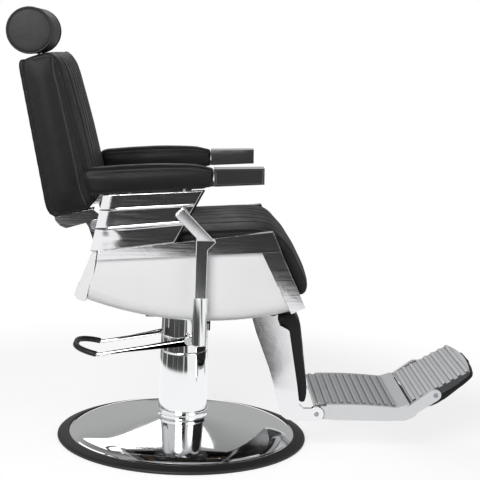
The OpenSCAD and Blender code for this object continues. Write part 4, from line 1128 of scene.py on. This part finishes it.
class CHAIR_OT_foot_rest(bpy.types.Operator):
    """Adds the ribbed foot plate and the tip plate with its pad"""
    bl_idname = "barber_chair.foot_rest"
    bl_label = "Foot rest"

    def execute(self, context):
        eased("foot_plate", "foot_deck", chair_size("fine_edge"), finish="satin_aluminium")
        tip = eased("tip_plate", "tip_deck", chair_size("fine_edge"), finish="satin_aluminium")
        # the flanges under the plate are left as cast
        flange = half_width("tip_plate") - 6 * MM
        refinish(tip, "painted_casting",
                 lambda face: abs(face.center.y) > flange and abs(face.normal.y) > 0.9)
        eased("tip_pins", "tip_hinge_pins", 0.6, flat=0.2)

        def sewn(x, y, z):
            return between(z, -8, -1)

        pad = swollen("tip_pad", "tip_cushion", TIP, sewn, draw_in=2, cap=4)
        # a dark sheet under the slot paints the shade in it
        add_slot_shade()
        return {"FINISHED"}


class CHAIR_OT_hidden_parts(bpy.types.Operator):
    """Gives every carried part of the frame the material of its slot"""
    bl_idname = "barber_chair.hidden_parts"
    bl_label = "Carried parts"

    def execute(self, context):
        for node, part in frame["nodes"].items():
            for slot in part.material_slots:
                slot.material = material(SLOT_MATERIALS[NODE_SLOT[node]])
        return {"FINISHED"}


OPERATORS = (
    CHAIR_OT_stage, CHAIR_OT_hidden_parts, CHAIR_OT_base, CHAIR_OT_pump, CHAIR_OT_shells,
    CHAIR_OT_castings, CHAIR_OT_recline_lever, CHAIR_OT_seat, CHAIR_OT_backrest, CHAIR_OT_headrest,
    CHAIR_OT_arm_pads, CHAIR_OT_leg_rest, CHAIR_OT_foot_rest,
)


class CHAIR_PT_panel(bpy.types.Panel):
    """Lists the chair's sizes, colours and pieces"""
    bl_idname = "CHAIR_PT_panel"
    bl_label = "Barber Chair"
    bl_space_type = "VIEW_3D"
    bl_region_type = "UI"
    bl_category = "Barber Chair"

    def draw(self, context):
        for group in (context.scene.chair_sizes, context.scene.chair_colours):
            for name in group.__annotations__:
                self.layout.prop(group, name)
        for operator in OPERATORS:
            self.layout.operator(operator.bl_idname)


CLASSES = (ChairSizes, ChairColours, *OPERATORS, CHAIR_PT_panel)


def register():
    for item in CLASSES:
        bpy.utils.register_class(item)
    bpy.types.Scene.chair_sizes = bpy.props.PointerProperty(type=ChairSizes)
    bpy.types.Scene.chair_colours = bpy.props.PointerProperty(type=ChairColours)


def unregister():
    del bpy.types.Scene.chair_colours
    del bpy.types.Scene.chair_sizes
    for item in reversed(CLASSES):
        bpy.utils.unregister_class(item)


def main():
    register()
    for operator in OPERATORS:
        category, name = operator.bl_idname.split(".")
        getattr(getattr(bpy.ops, category), name)()


if __name__ == "__main__":
    main()
